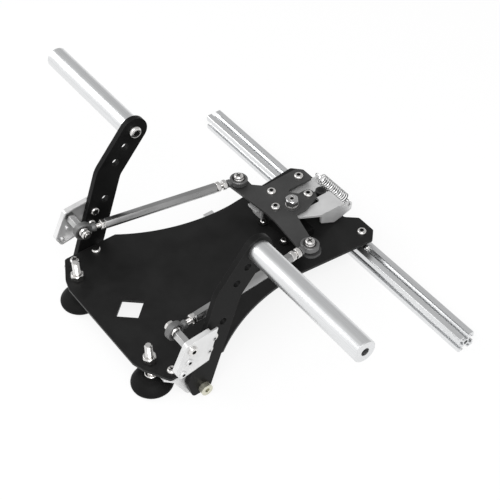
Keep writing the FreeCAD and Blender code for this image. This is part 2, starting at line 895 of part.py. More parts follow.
def pedal_arm():
    half = S.arm_width / 2
    mitre = keep("arm_mitre", half / (1 + thigh_y * shin_y + thigh_z * shin_z))
    front_y = keep("arm_front_y", S.bend_y - mitre * (thigh_z + shin_z))
    front_z = keep("arm_front_z", S.bend_z + mitre * (thigh_y + shin_y))
    rear_y = keep("arm_rear_y", S.bend_y + mitre * (thigh_z + shin_z))
    rear_z = keep("arm_rear_z", S.bend_z - mitre * (thigh_y + shin_y))
    slope = keep("shin_slope", shin_y / shin_z)
    end_radius = half - S.side_play
    body = new_body("pedal_arm")
    maker = SketchMaker(body, "arm_outline", "YZ_Plane", arm_inner)
    maker.outline([
        (S.foot_bar_y - half * (thigh_y - thigh_z), S.foot_bar_z - half * (thigh_z + thigh_y), end_radius),
        (rear_y, rear_z, half),
        (rear_y + (S.sole_z - rear_z) * slope, S.sole_z),
        (S.toe_y, S.sole_z, S.toe_corner),
        (front_y + (S.toe_z - front_z) * slope, S.toe_z),
        (front_y, front_z, S.arm_width),
        (S.foot_bar_y - half * (thigh_y + thigh_z), S.foot_bar_z - half * (thigh_z - thigh_y), end_radius),
    ])
    m8_hole = S.m8_radius + S.hole_fit
    m5_hole = S.m5_radius + S.hole_fit
    maker.circle(S.pivot_y, S.pivot_z, S.bush_radius + S.running_fit)
    for step in range(HEIGHT_HOLES):
        along = step * S.height_hole_pitch
        maker.circle(S.foot_bar_y + along * thigh_y, S.foot_bar_z + along * thigh_z, m8_hole)
    maker.circle(S.spare_hole_y, S.spare_hole_z, m8_hole)
    maker.circle(bolt_top_y, bolt_top_z, m5_hole)
    maker.circle(bolt_low_y, bolt_low_z, m5_hole)
    pad(body, "arm_bar", maker, S.arm_thickness)
    left_and_right("pedal_arm", body)


def foot_bars():
    bolt_bore = S.m8_radius + S.running_fit
    step = S.foot_bar_grip + S.thread_proud
    end = S.foot_bar_length
    edge = S.foot_bar_chamfer
    bar = turned("foot_bar", [
        (bolt_bore, 0),
        (S.foot_bar_radius, 0),
        (S.foot_bar_radius, end - edge),
        (S.foot_bar_radius - edge, end),
        (S.foot_bar_bore, end),
        (S.foot_bar_bore, step),
        (bolt_bore, step),
    ])
    left_and_right("foot_bar", place(bar, arm_outer, S.foot_bar_y, S.foot_bar_z, ALONG_X))
    bolt = plain_bolt("foot_bar_bolt", S.m8_radius, S.m8_head_radius, S.m8_head_height,
                      S.arm_thickness + S.foot_bar_grip)
    left_and_right("foot_bar_bolt", place(bolt, arm_inner, S.foot_bar_y, S.foot_bar_z, AGAINST_X))


# Rod bracket: a shallow pressed tray on the outside of the arm, with a choice of rod holes

def rod_brackets():
    body = new_body("rod_bracket")
    rear_top_y = S.outer_ball_y + S.tray_rear_top_y
    rear_top_z = S.outer_ball_z + S.tray_rear_top_z
    rear_low_y = S.outer_ball_y + S.tray_rear_low_y
    rear_low_z = S.outer_ball_z + S.tray_rear_low_z
    maker = SketchMaker(body, "tray_outline", "YZ_Plane", arm_outer)
    maker.outline([
        (rear_top_y, rear_top_z),
        (rear_low_y, rear_low_z),
        (S.outer_ball_y + S.tray_low_y, S.outer_ball_z + S.tray_low_z, S.tray_corner),
        (S.outer_ball_y + S.tray_nose_y, S.outer_ball_z + S.tray_nose_z, S.tray_corner),
        (S.outer_ball_y + S.tray_front_top_y, S.outer_ball_z + S.tray_front_top_z, S.tray_corner),
    ])
    block = pad(body, "tray_block", maker, S.tray_gap + S.tray_wall)
    mouth = [
        f"Face{i}" for i, face in enumerate(block.Shape.Faces, start=1)
        if abs(face.CenterOfMass.x - arm_outer.number) < ON_PLANE
    ]
    shell = body.newObject("PartDesign::Thickness", "tray_shell")
    shell.Base = (block, mouth)
    shell.Reversed = True
    bind(shell, "Value", S.tray_wall)
    document.recompute()
    check_cut("tray_shell", block.Shape.Volume, shell.Shape.Volume)
    reach = S.tray_corner + S.tray_wall
    maker = SketchMaker(body, "tray_open_side", "YZ_Plane", arm_outer + S.tray_gap)
    maker.outline([
        (rear_top_y - reach, rear_top_z + reach),
        (rear_top_y - reach, rear_low_z - reach),
        (rear_low_y + reach, rear_low_z - reach),
        (rear_top_y + reach, rear_top_z + reach),
    ])
    cut_into(body, "tray_open_edge", maker, S.tray_gap)
    maker = SketchMaker(body, "tray_holes", "YZ_Plane", arm_outer)
    maker.circle(S.outer_ball_y, S.outer_ball_z, S.m6_radius + S.hole_fit)
    maker.circle(S.outer_ball_y + S.middle_hole_y, S.outer_ball_z + S.middle_hole_z, S.m5_radius)
    maker.circle(S.outer_ball_y + S.lower_hole_y, S.outer_ball_z + S.lower_hole_z, S.m5_radius)
    maker.circle(bolt_top_y, bolt_top_z, S.m5_radius)
    maker.circle(bolt_low_y, bolt_low_z, S.m5_radius)
    cut_through(body, "tray_bores", maker)
    left_and_right("rod_bracket", body)
    bolt = m5_bolt("tray_bolt", S.arm_thickness + S.tray_gap + S.tray_wall)
    maker = SketchMaker(bolt, "tray_spacer_ring", "XY_Plane", -S.arm_thickness - S.tray_gap)
    maker.circle(0, 0, S.tray_spacer_radius)
    pad(bolt, "tray_spacer", maker, S.tray_gap)
    top = copy_of(bolt, arm_inner, bolt_top_y, bolt_top_z, AGAINST_X)
    low = copy_of(bolt, arm_inner, bolt_low_y, bolt_low_z, AGAINST_X)
    left_and_right("bracket_bolts", together("bracket_bolt_pair", top, low))


# Ball studs: a bolt turned in one with its ball, with a nut on its end

def ball_stud(name, low, neck_top=None):
    """A stud along Z with its ball about the origin. Its head stands on the ball, or on a neck above it."""
    half = S.ball_width / 2
    seat = half if neck_top is None else neck_top
    neck = [] if neck_top is None else [(S.m6_radius, half), (S.m6_radius, neck_top)]
    face = root(square(S.ball_radius) - square(half))
    shoulder = root(square(S.ball_radius) - square(half / 2))
    return turned(name, [
        (0, low),
        (S.m6_radius, low),
        (S.m6_radius, -half),
        (face, -half),
        (shoulder, -half / 2),
        (S.ball_radius, 0),
        (shoulder, half / 2),
        (face, half),
        *neck,
        (S.m6_head_radius, seat),
        (S.m6_head_radius, seat + S.m6_head_height),
        (0, seat + S.m6_head_height),
    ])


def ball_studs():
    half = S.ball_width / 2
    seat = arm_outer + S.tray_gap - S.outer_ball_x
    outer_low = -half - S.m6_nut_height - S.thread_proud
    outer = ball_stud("outer_ball_stud", outer_low, tray_outer - S.outer_ball_x)
    hexagon(outer, "Additive", "rod_standoff", S.m6_nut_flats, seat - half, half)
    hexagon(outer, "Additive", "rod_lock_nut", S.m6_nut_flats, S.m6_nut_height, -half - S.m6_nut_height)
    left_and_right("outer_ball_stud", place(outer, S.outer_ball_x, S.outer_ball_y, S.outer_ball_z, ALONG_X))
    nut_low = -half - S.crank_thickness - S.m6_nut_height
    inner = ball_stud("inner_ball_stud", nut_low - S.thread_proud)
    hexagon(inner, "Additive", "inner_nut", S.m6_nut_flats, S.m6_nut_height, nut_low)
    both_sides("inner_ball_studs", place(inner, S.inner_ball_x, S.inner_ball_y, inner_ball_z))


# Push rods: every piece lies along the line from the inner ball to the outer ball

inner_centre = FreeCAD.Vector(S.inner_ball_x.number, S.inner_ball_y.number, inner_ball_z.number)
outer_centre = FreeCAD.Vector(S.outer_ball_x.number, S.outer_ball_y.number, S.outer_ball_z.number)
rod_line = (outer_centre - inner_centre).normalize()


def along_rod(line, eye_axis):
    """Turn local Z onto the rod's line and local X as near as it goes to the eye's axis."""
    return FreeCAD.Rotation(eye_axis, FreeCAD.Vector(), line, "ZXY")


OUTWARD = along_rod(rod_line, FreeCAD.Vector(0, 0, 1))
INWARD = along_rod(rod_line * -1, FreeCAD.Vector(1, 0, 0))


def rod_end(name):
    """An eye with its neck: the eye's middle is the origin, its axis is X and the neck runs along Z."""
    body = new_body(name)
    maker = SketchMaker(body, name + "_eye_ring", "YZ_Plane", -S.rod_end_width / 2)
    maker.circle(0, 0, S.rod_end_radius)
    pad(body, name + "_eye", maker, S.rod_end_width)
    maker = SketchMaker(body, name + "_neck_section", "XZ_Plane")
    maker.outline([
        (0, S.rod_end_radius - S.neck_root),
        (S.rod_end_width / 2, S.rod_end_radius - S.neck_root),
        (S.rod_end_neck, S.rod_end_radius + S.neck_root),
        (S.rod_end_neck, S.neck_end),
        (0, S.neck_end),
    ])
    revolve(body, name + "_neck", maker)
    return body


def rod_end_bore(body, radius):
    maker = SketchMaker(body, body.Name + "_bore_ring", "YZ_Plane")
    maker.circle(0, 0, radius)
    cut_through(body, body.Name + "_bore", maker)


def push_rods():
    outer = rod_end("outer_rod_end")
    rod_end_bore(outer, S.ball_radius + S.open_joint_gap)
    left_and_right("outer_rod_end", place(outer, S.outer_ball_x, S.outer_ball_y, S.outer_ball_z, INWARD))
    inner = rod_end("inner_rod_end")
    race_inside = S.ball_radius + S.race_play
    race_outside = race_inside + S.race_thickness
    rod_end_bore(inner, race_outside + S.race_play)
    left_and_right("inner_rod_end", place(inner, S.inner_ball_x, S.inner_ball_y, inner_ball_z, OUTWARD))
    race = tube("rod_race", race_outside, race_inside, S.race_width)
    left_and_right("rod_race", place(race, S.inner_ball_x, S.inner_ball_y, inner_ball_z - S.race_width / 2))
    bar = new_body("push_rod")
    bar_start = S.second_nut_start + S.m6_nut_height
    bar_length = rod_length - bar_start - S.outer_nut_start - S.m6_nut_height
    hexagon(bar, "Additive", "rod_hexagon", S.rod_flats, bar_length, bar_start)
    maker = SketchMaker(bar, "rod_thread_ring", "XY_Plane", S.neck_end)
    maker.circle(0, 0, S.m6_radius)
    pad(bar, "rod_thread", maker, rod_length - 2 * S.neck_end)
    outer_nut = rod_length - S.outer_nut_start - S.m6_nut_height
    for end_name, start in (("inner", S.inner_nut_start), ("second", S.second_nut_start), ("outer", outer_nut)):
        hexagon(bar, "Additive", end_name + "_jam_nut", S.jam_nut_flats, S.m6_nut_height, start)
    left_and_right("push_rod", place(bar, S.inner_ball_x, S.inner_ball_y, inner_ball_z, OUTWARD))


# Crank plate: two arms to the push rods, a lobe for a damper bolt and a lobe for the drive pin

def crank():
    body = new_body("crank_plate")
    corner = S.crank_corner
    end_corner = S.crank_arm_half - S.arm_end_flat
    lobe_corner = S.pin_lobe_half - S.arm_end_flat
    low = S.inner_ball_y - S.crank_arm_half
    shoulder_y = low + S.shoulder_rise
    high = S.inner_ball_y + S.crank_arm_half
    lobe_left = S.pin_x - S.pin_lobe_half
    lobe_right = S.pin_x + S.pin_lobe_half
    lobe_low = S.drive_pin_y - S.pin_lobe_half
    maker = SketchMaker(body, "crank_outline", "XY_Plane", S.crank_z)
    maker.outline([
        (S.crank_arm_end, low, end_corner),
        (S.crank_arm_end, high, end_corner),
        (S.crank_front_x, S.crank_front),
        (-S.crank_front_x, S.crank_front),
        (-S.crank_arm_end, high, end_corner),
        (-S.crank_arm_end, low, end_corner),
        (-S.crank_shoulder_x, shoulder_y),
        (-S.crank_waist_x, S.crank_hip_y, corner),
        (-S.crank_waist_x, S.crank_waist_y),
        (lobe_left, lobe_low, lobe_corner),
        (lobe_right, lobe_low, lobe_corner),
        (lobe_right, S.drive_pin_y + S.pin_lobe_half),
        (S.lobe_inner_x, S.notch_y, corner),
        (S.lobe_inner_x, S.lobe_end_y, corner),
        (S.lobe_outer_x - S.lobe_cut, S.lobe_end_y),
        (S.lobe_outer_x, S.lobe_end_y + S.lobe_cut),
        (S.crank_hip_x, S.crank_hip_y),
        (S.crank_shoulder_x, shoulder_y),
    ])
    for side in (1, -1):
        maker.circle(side * S.inner_ball_x, S.inner_ball_y, S.m6_radius + S.hole_fit)
    bolts = [(S.bolt_a_x, S.bolt_a_y), (S.bolt_b_x, S.bolt_b_y), (S.bolt_c_x, S.bolt_c_y)]
    for x, y in bolts + [(S.pin_x, S.drive_pin_y)]:
        maker.circle(x, y, S.m6_radius)
    pad(body, "crank_sheet", maker, S.crank_thickness)
    maker = SketchMaker(body, "crank_hub_ring", "XY_Plane", S.crank_z - S.crank_hub_rise)
    maker.circle(0, S.post_y, S.crank_hub_radius)
    pad(body, "crank_hub", maker, S.crank_thickness + 2 * S.crank_hub_rise)
    maker = SketchMaker(body, "crank_bore_ring", "XY_Plane", S.crank_z)
    maker.circle(0, S.post_y, S.post_radius + S.running_fit)
    cut_through(body, "crank_bore", maker)
    node("crank_plate", body)
    bolt = m6_bolt("crank_bolt", S.crank_thickness)
    node("crank_bolts", together("crank_bolt_set", *[copy_of(bolt, x, y, crank_top) for x, y in bolts]))


# Pins and sleeves: the fixed pin stands on the plate, the drive pin hangs from the crank

def pins():
    tip = S.sleeve_bottom - S.running_fit - S.pin_tip_height
    drive = turned("drive_pin", [
        (0, tip),
        (S.pin_shaft_radius, tip),
        (S.pin_shaft_radius, tip + S.pin_tip_height),
        (S.m8_radius, tip + S.pin_tip_height),
        (S.m8_radius, S.crank_z),
        (S.m6_radius, S.crank_z),
        (S.m6_radius, crank_top),
        (S.m6_head_radius, crank_top),
        (S.m6_head_radius, crank_top + S.m6_head_height),
        (0, crank_top + S.m6_head_height),
    ])
    node("drive_pin", place(drive, S.pin_x, S.drive_pin_y, 0))
    fixed = turned("fixed_pin", [
        (0, plate_top),
        (S.pin_flange_radius, plate_top),
        (S.pin_flange_radius, plate_top + S.pin_flange_height),
        (S.pin_shaft_radius, plate_top + S.pin_flange_height),
        (S.pin_shaft_radius, S.sleeve_bottom - S.running_fit),
        (S.m8_radius, S.sleeve_bottom - S.running_fit),
        (S.m8_radius, S.sleeve_top + S.side_play),
        (0, S.sleeve_top + S.side_play),
    ])
    node("fixed_pin", place(fixed, S.pin_x, S.fixed_pin_y, 0))
    length = S.sleeve_top - S.sleeve_bottom
    for label, y in (("drive_sleeve", S.drive_pin_y), ("fixed_sleeve", S.fixed_pin_y)):
        sleeve = tube(label, S.sleeve_radius, S.m8_radius + S.running_fit, length)
        node(label, place(sleeve, S.pin_x, y, S.sleeve_bottom))


# Scissor levers: a flat blade round the post and a flange bent down at its outer edge for the spring. The
# blade closes on the fixed sleeve, and a bay in its inner edge leaves the drive sleeve room to swing.

def lever(label, side, level):
    body = new_body(label)
    reach = S.lever_hub_radius
    corner = S.lever_corner
    edge = side * (S.sleeve_radius + S.touch_gap) + S.pin_x
    bay = edge + side * S.lever_bay_depth
    outer = side * S.lever_outer_x
    top = level + S.lever_thickness
    round_end = reach - S.side_play
    points = [
        (-side * reach, S.post_y + reach, round_end),
        (-side * reach, S.post_y - reach, round_end),
        (edge, S.post_y - reach),
        (edge, S.lever_bay_high_y),
        (bay, S.lever_bay_high_y, corner),
        (bay, S.lever_bay_low_y, corner),
        (edge, S.lever_bay_low_y),
        (edge, S.lever_end_y, corner),
        (outer, S.lever_end_y),
        (outer, S.flange_rear_y),
        (side * reach, S.post_y + reach, round_end),
    ]
    maker = SketchMaker(body, label + "_outline", "XY_Plane", level)
    maker.outline(points if side > 0 else list(reversed(points)))
    maker.circle(0, S.post_y, S.post_radius + S.running_fit)
    pad(body, label + "_blade", maker, S.lever_thickness)
    start = S.lever_outer_x - S.lever_thickness if side > 0 else -1 * S.lever_outer_x
    maker = SketchMaker(body, label + "_flange_outline", "YZ_Plane", start)
    ear_top = S.right_lever_z + S.lever_thickness
    step = [] if side > 0 else [(S.flange_step_y, top), (S.lever_end_y, ear_top)]
    maker.outline([(S.flange_rear_y, top)] + step + [
        (S.flange_tip_y, ear_top, corner),
        (S.flange_low_y, S.flange_low_z, corner),
        (S.flange_heel_y, S.flange_heel_z, corner),
        (S.flange_rear_y, S.flange_heel_z + S.flange_heel_rise),
    ])
    maker.circle(S.spring_y, S.spring_z - S.loop_radius, S.hook_hole_radius)
    pad(body, label + "_flange", maker, S.lever_thickness)
    node(label, body)


# Extension spring: a helix of straight steps with a hook at each end through the hole of its lever

def spring():
    wire = S.wire_radius.number
    coil_end = S.coil_end_x.number
    radius = S.spring_radius.number
    loop = S.loop_radius.number
    lever_x = S.lever_outer_x.number - S.lever_thickness.number / 2
    hook = [FreeCAD.Vector(lever_x + loop * math.cos(turn), 0, -loop * math.sin(turn)) for turn in HOOK_TURNS]
    far_hook = [FreeCAD.Vector(-point.x, 0, point.z) for point in reversed(hook)]
    steps = SPRING_TURNS * STEPS_A_TURN
    helix = []
    for step in range(steps + 1):
        turn = 2 * math.pi * step / STEPS_A_TURN - math.pi / 2
        along = coil_end * (2 * step / steps - 1)
        helix.append(FreeCAD.Vector(along, radius * math.cos(turn), radius * math.sin(turn)))
    points = far_hook + helix + hook
    side_way = FreeCAD.Vector(0, 1, 0)
    other_way = (points[1] - points[0]).normalize().cross(side_way)
    section = [
        points[0] + side_way * (wire * a) + other_way * (wire * b)
        for a, b in ((1, 1), (-1, 1), (-1, -1), (1, -1), (1, 1))
    ]
    pipe = Part.BRepOffsetAPI.MakePipeShell(Part.makePolygon(points))
    pipe.setTransitionMode(SHARP_CORNERS)
    pipe.add(Part.makePolygon(section))
    pipe.build()
    pipe.makeSolid()
    coil = document.addObject("Part::Feature", "spring")
    coil.Shape = pipe.shape()
    node("spring", place(coil, 0, S.spring_y, S.spring_z))


# Pivot housing and post: the post is turned with its washer, and the nut is on its thread

def post_group():
    body = new_body("pivot_housing")
    wide = S.housing_half_width
    corner = S.housing_corner
    maker = SketchMaker(body, "housing_outline", "XY_Plane", plate_top)
    maker.outline([
        (-wide, S.housing_rear),
        (wide, S.housing_rear),
        (wide, S.housing_front, corner),
        (-wide, S.housing_front, corner),
    ])
    pad(body, "housing_block", maker, S.housing_height)
    ridge_rear = S.housing_front - S.housing_ridge_depth
    maker = SketchMaker(body, "ridge_outline", "XY_Plane", plate_top)
    maker.outline([
        (-wide, ridge_rear),
        (wide, ridge_rear),
        (wide, S.housing_front, corner),
        (-wide, S.housing_front, corner),
    ])
    pad(body, "housing_ridge", maker, S.housing_ridge)
    for side_name, side in (("right", 1), ("left", -1)):
        middle = side * S.ear_x
        left, right = middle - S.ear_radius, middle + S.ear_radius
        maker = SketchMaker(body, f"{side_name}_ear_outline", "XY_Plane", plate_top)
        maker.outline([
            (left, S.housing_front - corner),
            (right, S.housing_front - corner),
            (right, S.ear_y + S.ear_radius, S.ear_corner),
            (left, S.ear_y + S.ear_radius, S.ear_corner),
        ])
        pad(body, f"{side_name}_ear", maker, S.ear_height)
    maker = SketchMaker(body, "boss_ring", "XY_Plane", plate_top)
    maker.circle(0, S.post_y, S.boss_radius)
    pad(body, "boss", maker, S.right_lever_z - S.boss_gap - plate_top)
    maker = SketchMaker(body, "housing_holes", "XY_Plane", plate_top)
    maker.circle(0, S.post_y, S.post_radius)
    for side in (1, -1):
        maker.circle(side * S.ear_x, S.ear_y, S.m4_radius + S.hole_fit)
    cut_through(body, "housing_bores", maker)
    node("pivot_housing", body)
    shoulder = crank_top + S.crank_hub_rise + S.side_play
    post = turned("pivot_post", [
        (0, plate_bottom),
        (S.post_radius, plate_bottom),
        (S.post_radius, shoulder),
        (S.washer_radius, shoulder),
        (S.washer_radius, shoulder + S.washer_height),
        (S.m8_radius, shoulder + S.washer_height),
        (S.m8_radius, S.post_thread_end),
        (0, S.post_thread_end),
    ])
    hexagon(post, "Additive", "post_nut", S.m8_nut_flats, S.m8_nut_height, shoulder + S.washer_height)
    node("pivot_post", place(post, 0, S.post_y, 0))


def sensor_bracket():
    body = new_body("sensor_bracket")
    rear = S.housing_front
    top = plate_top + S.angle_height
    maker = SketchMaker(body, "angle_section", "YZ_Plane", S.angle_inner_x)
    maker.outline([
        (rear, plate_top),
        (rear + S.angle_wall, plate_top),
        (rear + S.angle_wall, top - S.angle_wall),
        (rear + S.angle_depth, top - S.angle_wall),
        (rear + S.angle_depth, top),
        (rear, top),
    ])
    pad(body, "angle", maker, S.angle_outer_x - S.angle_inner_x)
    node("sensor_bracket", body)


# Electronics box under the plate and the metal socket for the lead

def electronics():
    body = new_body("electronics_box")
    corner = S.box_corner
    maker = SketchMaker(body, "box_outline", "XY_Plane", plate_bottom - S.box_height)
    maker.outline([
        (S.box_inner_x, S.box_rear, corner),
        (S.box_outer_x, S.box_rear, corner),
        (S.box_outer_x, S.box_front, corner),
        (S.box_inner_x, S.box_front, corner),
    ])
    pad(body, "box_block", maker, S.box_height)
    node("electronics_box", body)
    half = S.socket_width / 2
    middle = plate_bottom - S.box_height / 2
    low = middle - S.socket_height / 2
    high = middle + S.socket_height / 2
    body = new_body("lead_socket")
    maker = SketchMaker(body, "socket_outline", "YZ_Plane", S.box_outer_x)
    maker.outline([
        (S.socket_y - half, low),
        (S.socket_y + half, low),
        (S.socket_y + half, high),
        (S.socket_y - half, high),
    ])
    pad(body, "socket_block", maker, S.socket_length)
    wall = S.socket_wall
    maker = SketchMaker(body, "socket_room_outline", "YZ_Plane", S.box_outer_x + S.socket_length)
    maker.outline([
        (S.socket_y - half + wall, low + wall),
        (S.socket_y + half - wall, low + wall),
        (S.socket_y + half - wall, high - wall),
        (S.socket_y - half + wall, high - wall),
    ])
    cut_into(body, "socket_room", maker, S.socket_depth)
    node("lead_socket", body)


crossbar()
crossbar_mounts()
base_plate()
feet()
pivot_brackets()
pedal_pivots()
pedal_arm()
foot_bars()
rod_brackets()
ball_studs()
push_rods()
crank()
pins()
lever("lever_right", 1, S.right_lever_z)
lever("lever_left", -1, S.left_lever_z)
spring()
post_group()
sensor_bracket()
electronics()
document.recompute()

for thing in document.Objects:
    if "Invalid" in thing.State or "Error" in thing.State:
        raise ValueError(f"{thing.Label} failed: {thing.State}")

os.makedirs("parts", exist_ok=True)
for thing in nodes:
    if thing.Shape.isNull() or not thing.Shape.isValid() or not thing.Shape.Solids:
        raise ValueError(f"{thing.Label} has no valid shape")
    thing.Shape.exportStep(f"parts/{thing.Label}.step")
    box = thing.Shape.BoundBox
    print(f"{thing.Label}: {len(thing.Shape.Solids)} solids, "
          f"{box.XMin:.1f} {box.YMin:.1f} {box.ZMin:.1f} to {box.XMax:.1f} {box.YMax:.1f} {box.ZMax:.1f}")
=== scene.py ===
# %% [markdown]
# Flight sim rudder pedals
# The CAD model already holds the plates, bars and levers at full size. This script dresses it: it gives
# every surface a finish, and it models again the small turned and wound pieces whose looks depend on fine
# form, such as domed screws, threads, ball joints, rubber feet and the spring.

# %% Load the frame and keep its size
import math

import bpy
from mathutils import Matrix, Vector


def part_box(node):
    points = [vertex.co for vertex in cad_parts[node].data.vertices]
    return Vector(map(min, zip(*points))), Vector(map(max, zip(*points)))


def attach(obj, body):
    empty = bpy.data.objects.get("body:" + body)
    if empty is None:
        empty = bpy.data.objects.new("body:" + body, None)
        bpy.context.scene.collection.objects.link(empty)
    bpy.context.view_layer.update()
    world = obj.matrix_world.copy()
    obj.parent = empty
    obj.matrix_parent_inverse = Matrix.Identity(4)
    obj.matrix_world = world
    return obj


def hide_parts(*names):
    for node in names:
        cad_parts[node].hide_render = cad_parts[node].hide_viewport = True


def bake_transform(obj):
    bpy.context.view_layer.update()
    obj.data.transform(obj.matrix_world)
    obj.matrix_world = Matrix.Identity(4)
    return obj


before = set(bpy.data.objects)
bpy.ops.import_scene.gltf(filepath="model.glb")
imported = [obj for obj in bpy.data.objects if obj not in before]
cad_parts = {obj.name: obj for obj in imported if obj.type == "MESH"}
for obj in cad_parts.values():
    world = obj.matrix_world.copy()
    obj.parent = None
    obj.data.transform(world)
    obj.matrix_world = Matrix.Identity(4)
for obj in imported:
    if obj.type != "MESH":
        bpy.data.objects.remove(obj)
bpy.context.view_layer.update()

# %% [markdown]
# Most fasteners here are stock parts, so their sizes are known in millimetres. Blender works in metres. One
# factor keeps the numbers readable, and places are read from the boxes of the CAD nodes wherever they can be.

# %% Sizes that the pieces share
MM = 0.001
SIDES = (("right", 1), ("left", -1))
PLATE_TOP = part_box("base_plate")[1].z
PLATE_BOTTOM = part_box("base_plate")[0].z
SLEEVE_GAP = 0.7 * MM
CRANK_SHEET = 3 * MM
CRANK_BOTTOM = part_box("drive_sleeve")[1].z + SLEEVE_GAP
CRANK_TOP = CRANK_BOTTOM + CRANK_SHEET
M6_RADIUS = 3 * MM
M8_RADIUS = 4 * MM
M6_FLATS = 10 * MM
M8_FLATS = 13 * MM
UP = Vector((0, 0, 1))
print("plate top", round(PLATE_TOP / MM, 2), "crank top", round(CRANK_TOP / MM, 2))

# %% [markdown]
# A turned piece, such as a bolt or a foot, is a row of rings on one axis. By hand one would spin a profile or
# extrude a disc and scale each new ring. Extruding is used here, because its faces point outwards by
# themselves.

# %% Turn a piece from its profile
def deselect():
    bpy.ops.object.select_all(action="DESELECT")


def choose(piece):
    deselect()
    piece.select_set(True)
    bpy.context.view_layer.objects.active = piece


def turn(name, profile, segments=40):
    """A closed turned piece on Z from (radius, height) rings, lowest first."""
    deselect()
    radius, height = profile[0]
    bpy.ops.mesh.primitive_circle_add(
        vertices=segments, radius=radius, fill_type="NGON", location=(0, 0, height))
    piece = bpy.context.object
    piece.name = name
    bpy.ops.object.transform_apply(location=True, rotation=True, scale=True)
    bpy.ops.object.mode_set(mode="EDIT")
    bpy.ops.mesh.select_all(action="SELECT")
    for (r0, z0), (r1, z1) in zip(profile, profile[1:]):
        bpy.ops.mesh.extrude_region_move(TRANSFORM_OT_translate={"value": (0, 0, z1 - z0)})
        bpy.ops.transform.resize(value=(r1 / r0, r1 / r0, 1), center_override=(0, 0, z1))
    bpy.ops.mesh.select_all(action="SELECT")
    bpy.ops.mesh.normals_make_consistent(inside=False)
    bpy.ops.object.mode_set(mode="OBJECT")
    return piece


# %% [markdown]
# Sockets, bores and joined forms are booleans, as on a machined part: a cutter is set in place, applied and
# thrown away. A narrow bevel on sharp edges then catches the light, which is what makes metal look machined.

# %% Cut, join and bevel
SHARP_ANGLE = math.radians(40)
SMOOTH_ANGLE = math.radians(38)


def apply_modifier(piece, kind, **settings):
    choose(piece)
    modifier = piece.modifiers.new(kind.lower(), kind)
    for key, value in settings.items():
        setattr(modifier, key, value)
    bpy.ops.object.modifier_apply(modifier=modifier.name)
    return piece


def combine(piece, other, operation):
    apply_modifier(piece, "BOOLEAN", operation=operation, object=other, solver="EXACT")
    bpy.data.objects.remove(other)
    return piece


def cut(piece, tool):
    return combine(piece, tool, "DIFFERENCE")


def weld(piece, *others):
    for other in others:
        combine(piece, other, "UNION")
    return piece


def soften(piece, width=0.2 * MM):
    return apply_modifier(
        piece, "BEVEL", width=width, segments=2, limit_method="ANGLE", angle_limit=SHARP_ANGLE)


def smooth(piece):
    choose(piece)
    bpy.ops.object.shade_smooth_by_angle(angle=SMOOTH_ANGLE)
    return piece


# %% [markdown]
# A piece is made on Z about the origin, where its numbers are easy to read, and then moved to its place. The
# move goes into the mesh, so that patterns on the piece stay where they are.

# %% Place and copy
def along(direction, eye_axis=None):
    """A turn that takes Z to a direction, and X as near as it goes to the eye's axis."""
    z = Vector(direction).normalized()
    hint = Vector(eye_axis) if eye_axis is not None else (Vector((1, 0, 0)) if abs(z.x) < 0.9 else UP)
    x = (hint - z * hint.dot(z)).normalized()
    y = z.cross(x)
    return Matrix((x, y, z)).transposed().to_4x4()


def settle(piece, place=(0, 0, 0), turned=Matrix()):
    """Move a piece to its place and put the move into its mesh."""
    choose(piece)
    piece.matrix_world = Matrix.Translation(Vector(place)) @ turned
    bpy.ops.object.transform_apply(location=True, rotation=True, scale=True)
    return smooth(piece)


def twin(piece, name):
    """A copy with a mesh of its own."""
    copy = piece.copy()
    copy.data = piece.data.copy()
    copy.name = name
    bpy.context.scene.collection.objects.link(copy)
    return copy


# %% [markdown]
# Every surface in the photograph has a finish of its own, but many share the same causes: a fine grain, brush
# lines, faint smudges and lighter edges, which are partly coat worn thin and partly a painted highlight. Each
# cause is one node group, and each material mixes them with its own amounts.

# %% Node group for grain and smudges
def new_group(name, inputs, outputs):
    group = bpy.data.node_groups.new(name, "ShaderNodeTree")
    for label, default in inputs:
        socket = group.interface.new_socket(label, in_out="INPUT", socket_type="NodeSocketFloat")
        socket.default_value = default
    for label in outputs:
        group.interface.new_socket(label, in_out="OUTPUT", socket_type="NodeSocketFloat")
    return group, group.nodes.new("NodeGroupInput"), group.nodes.new("NodeGroupOutput")


def grain_group():
    """Fine grain and broad smudges, both about 0 to 1."""
    group, given, made = new_group(
        "grain_and_smudge", [("Grain scale", 1500.0), ("Smudge scale", 40.0)], ["Grain", "Smudge"])
    coordinates = group.nodes.new("ShaderNodeTexCoord")
    for label, source, detail in (("Grain", "Grain scale", 2.0), ("Smudge", "Smudge scale", 4.0)):
        noise = group.nodes.new("ShaderNodeTexNoise")
        noise.inputs["Detail"].default_value = detail
        group.links.new(coordinates.outputs["Object"], noise.inputs["Vector"])
        group.links.new(given.outputs[source], noise.inputs["Scale"])
        group.links.new(noise.outputs["Fac"], made.inputs[label])
    return group


GRAIN = grain_group()
print("node group:", GRAIN.name)


# %% Node group for brush lines
def brush_group():
    """Lines drawn out along one axis, as rolling and extruding leave them."""
    group, given, made = new_group(
        "brush_lines", [("Along X", 6.0), ("Along Y", 900.0), ("Along Z", 900.0)], ["Lines"])
    coordinates = group.nodes.new("ShaderNodeTexCoord")
    stretch = group.nodes.new("ShaderNodeCombineXYZ")
    for axis in "XYZ":
        group.links.new(given.outputs["Along " + axis], stretch.inputs[axis])
    product = group.nodes.new("ShaderNodeVectorMath")
    product.operation = "MULTIPLY"
    group.links.new(coordinates.outputs["Object"], product.inputs[0])
    group.links.new(stretch.outputs["Vector"], product.inputs[1])
    noise = group.nodes.new("ShaderNodeTexNoise")
    noise.inputs["Scale"].default_value = 1.0
    noise.inputs["Detail"].default_value = 3.0
    group.links.new(product.outputs["Vector"], noise.inputs["Vector"])
    group.links.new(noise.outputs["Fac"], made.inputs["Lines"])
    return group


BRUSH = brush_group()
print("node group:", BRUSH.name)


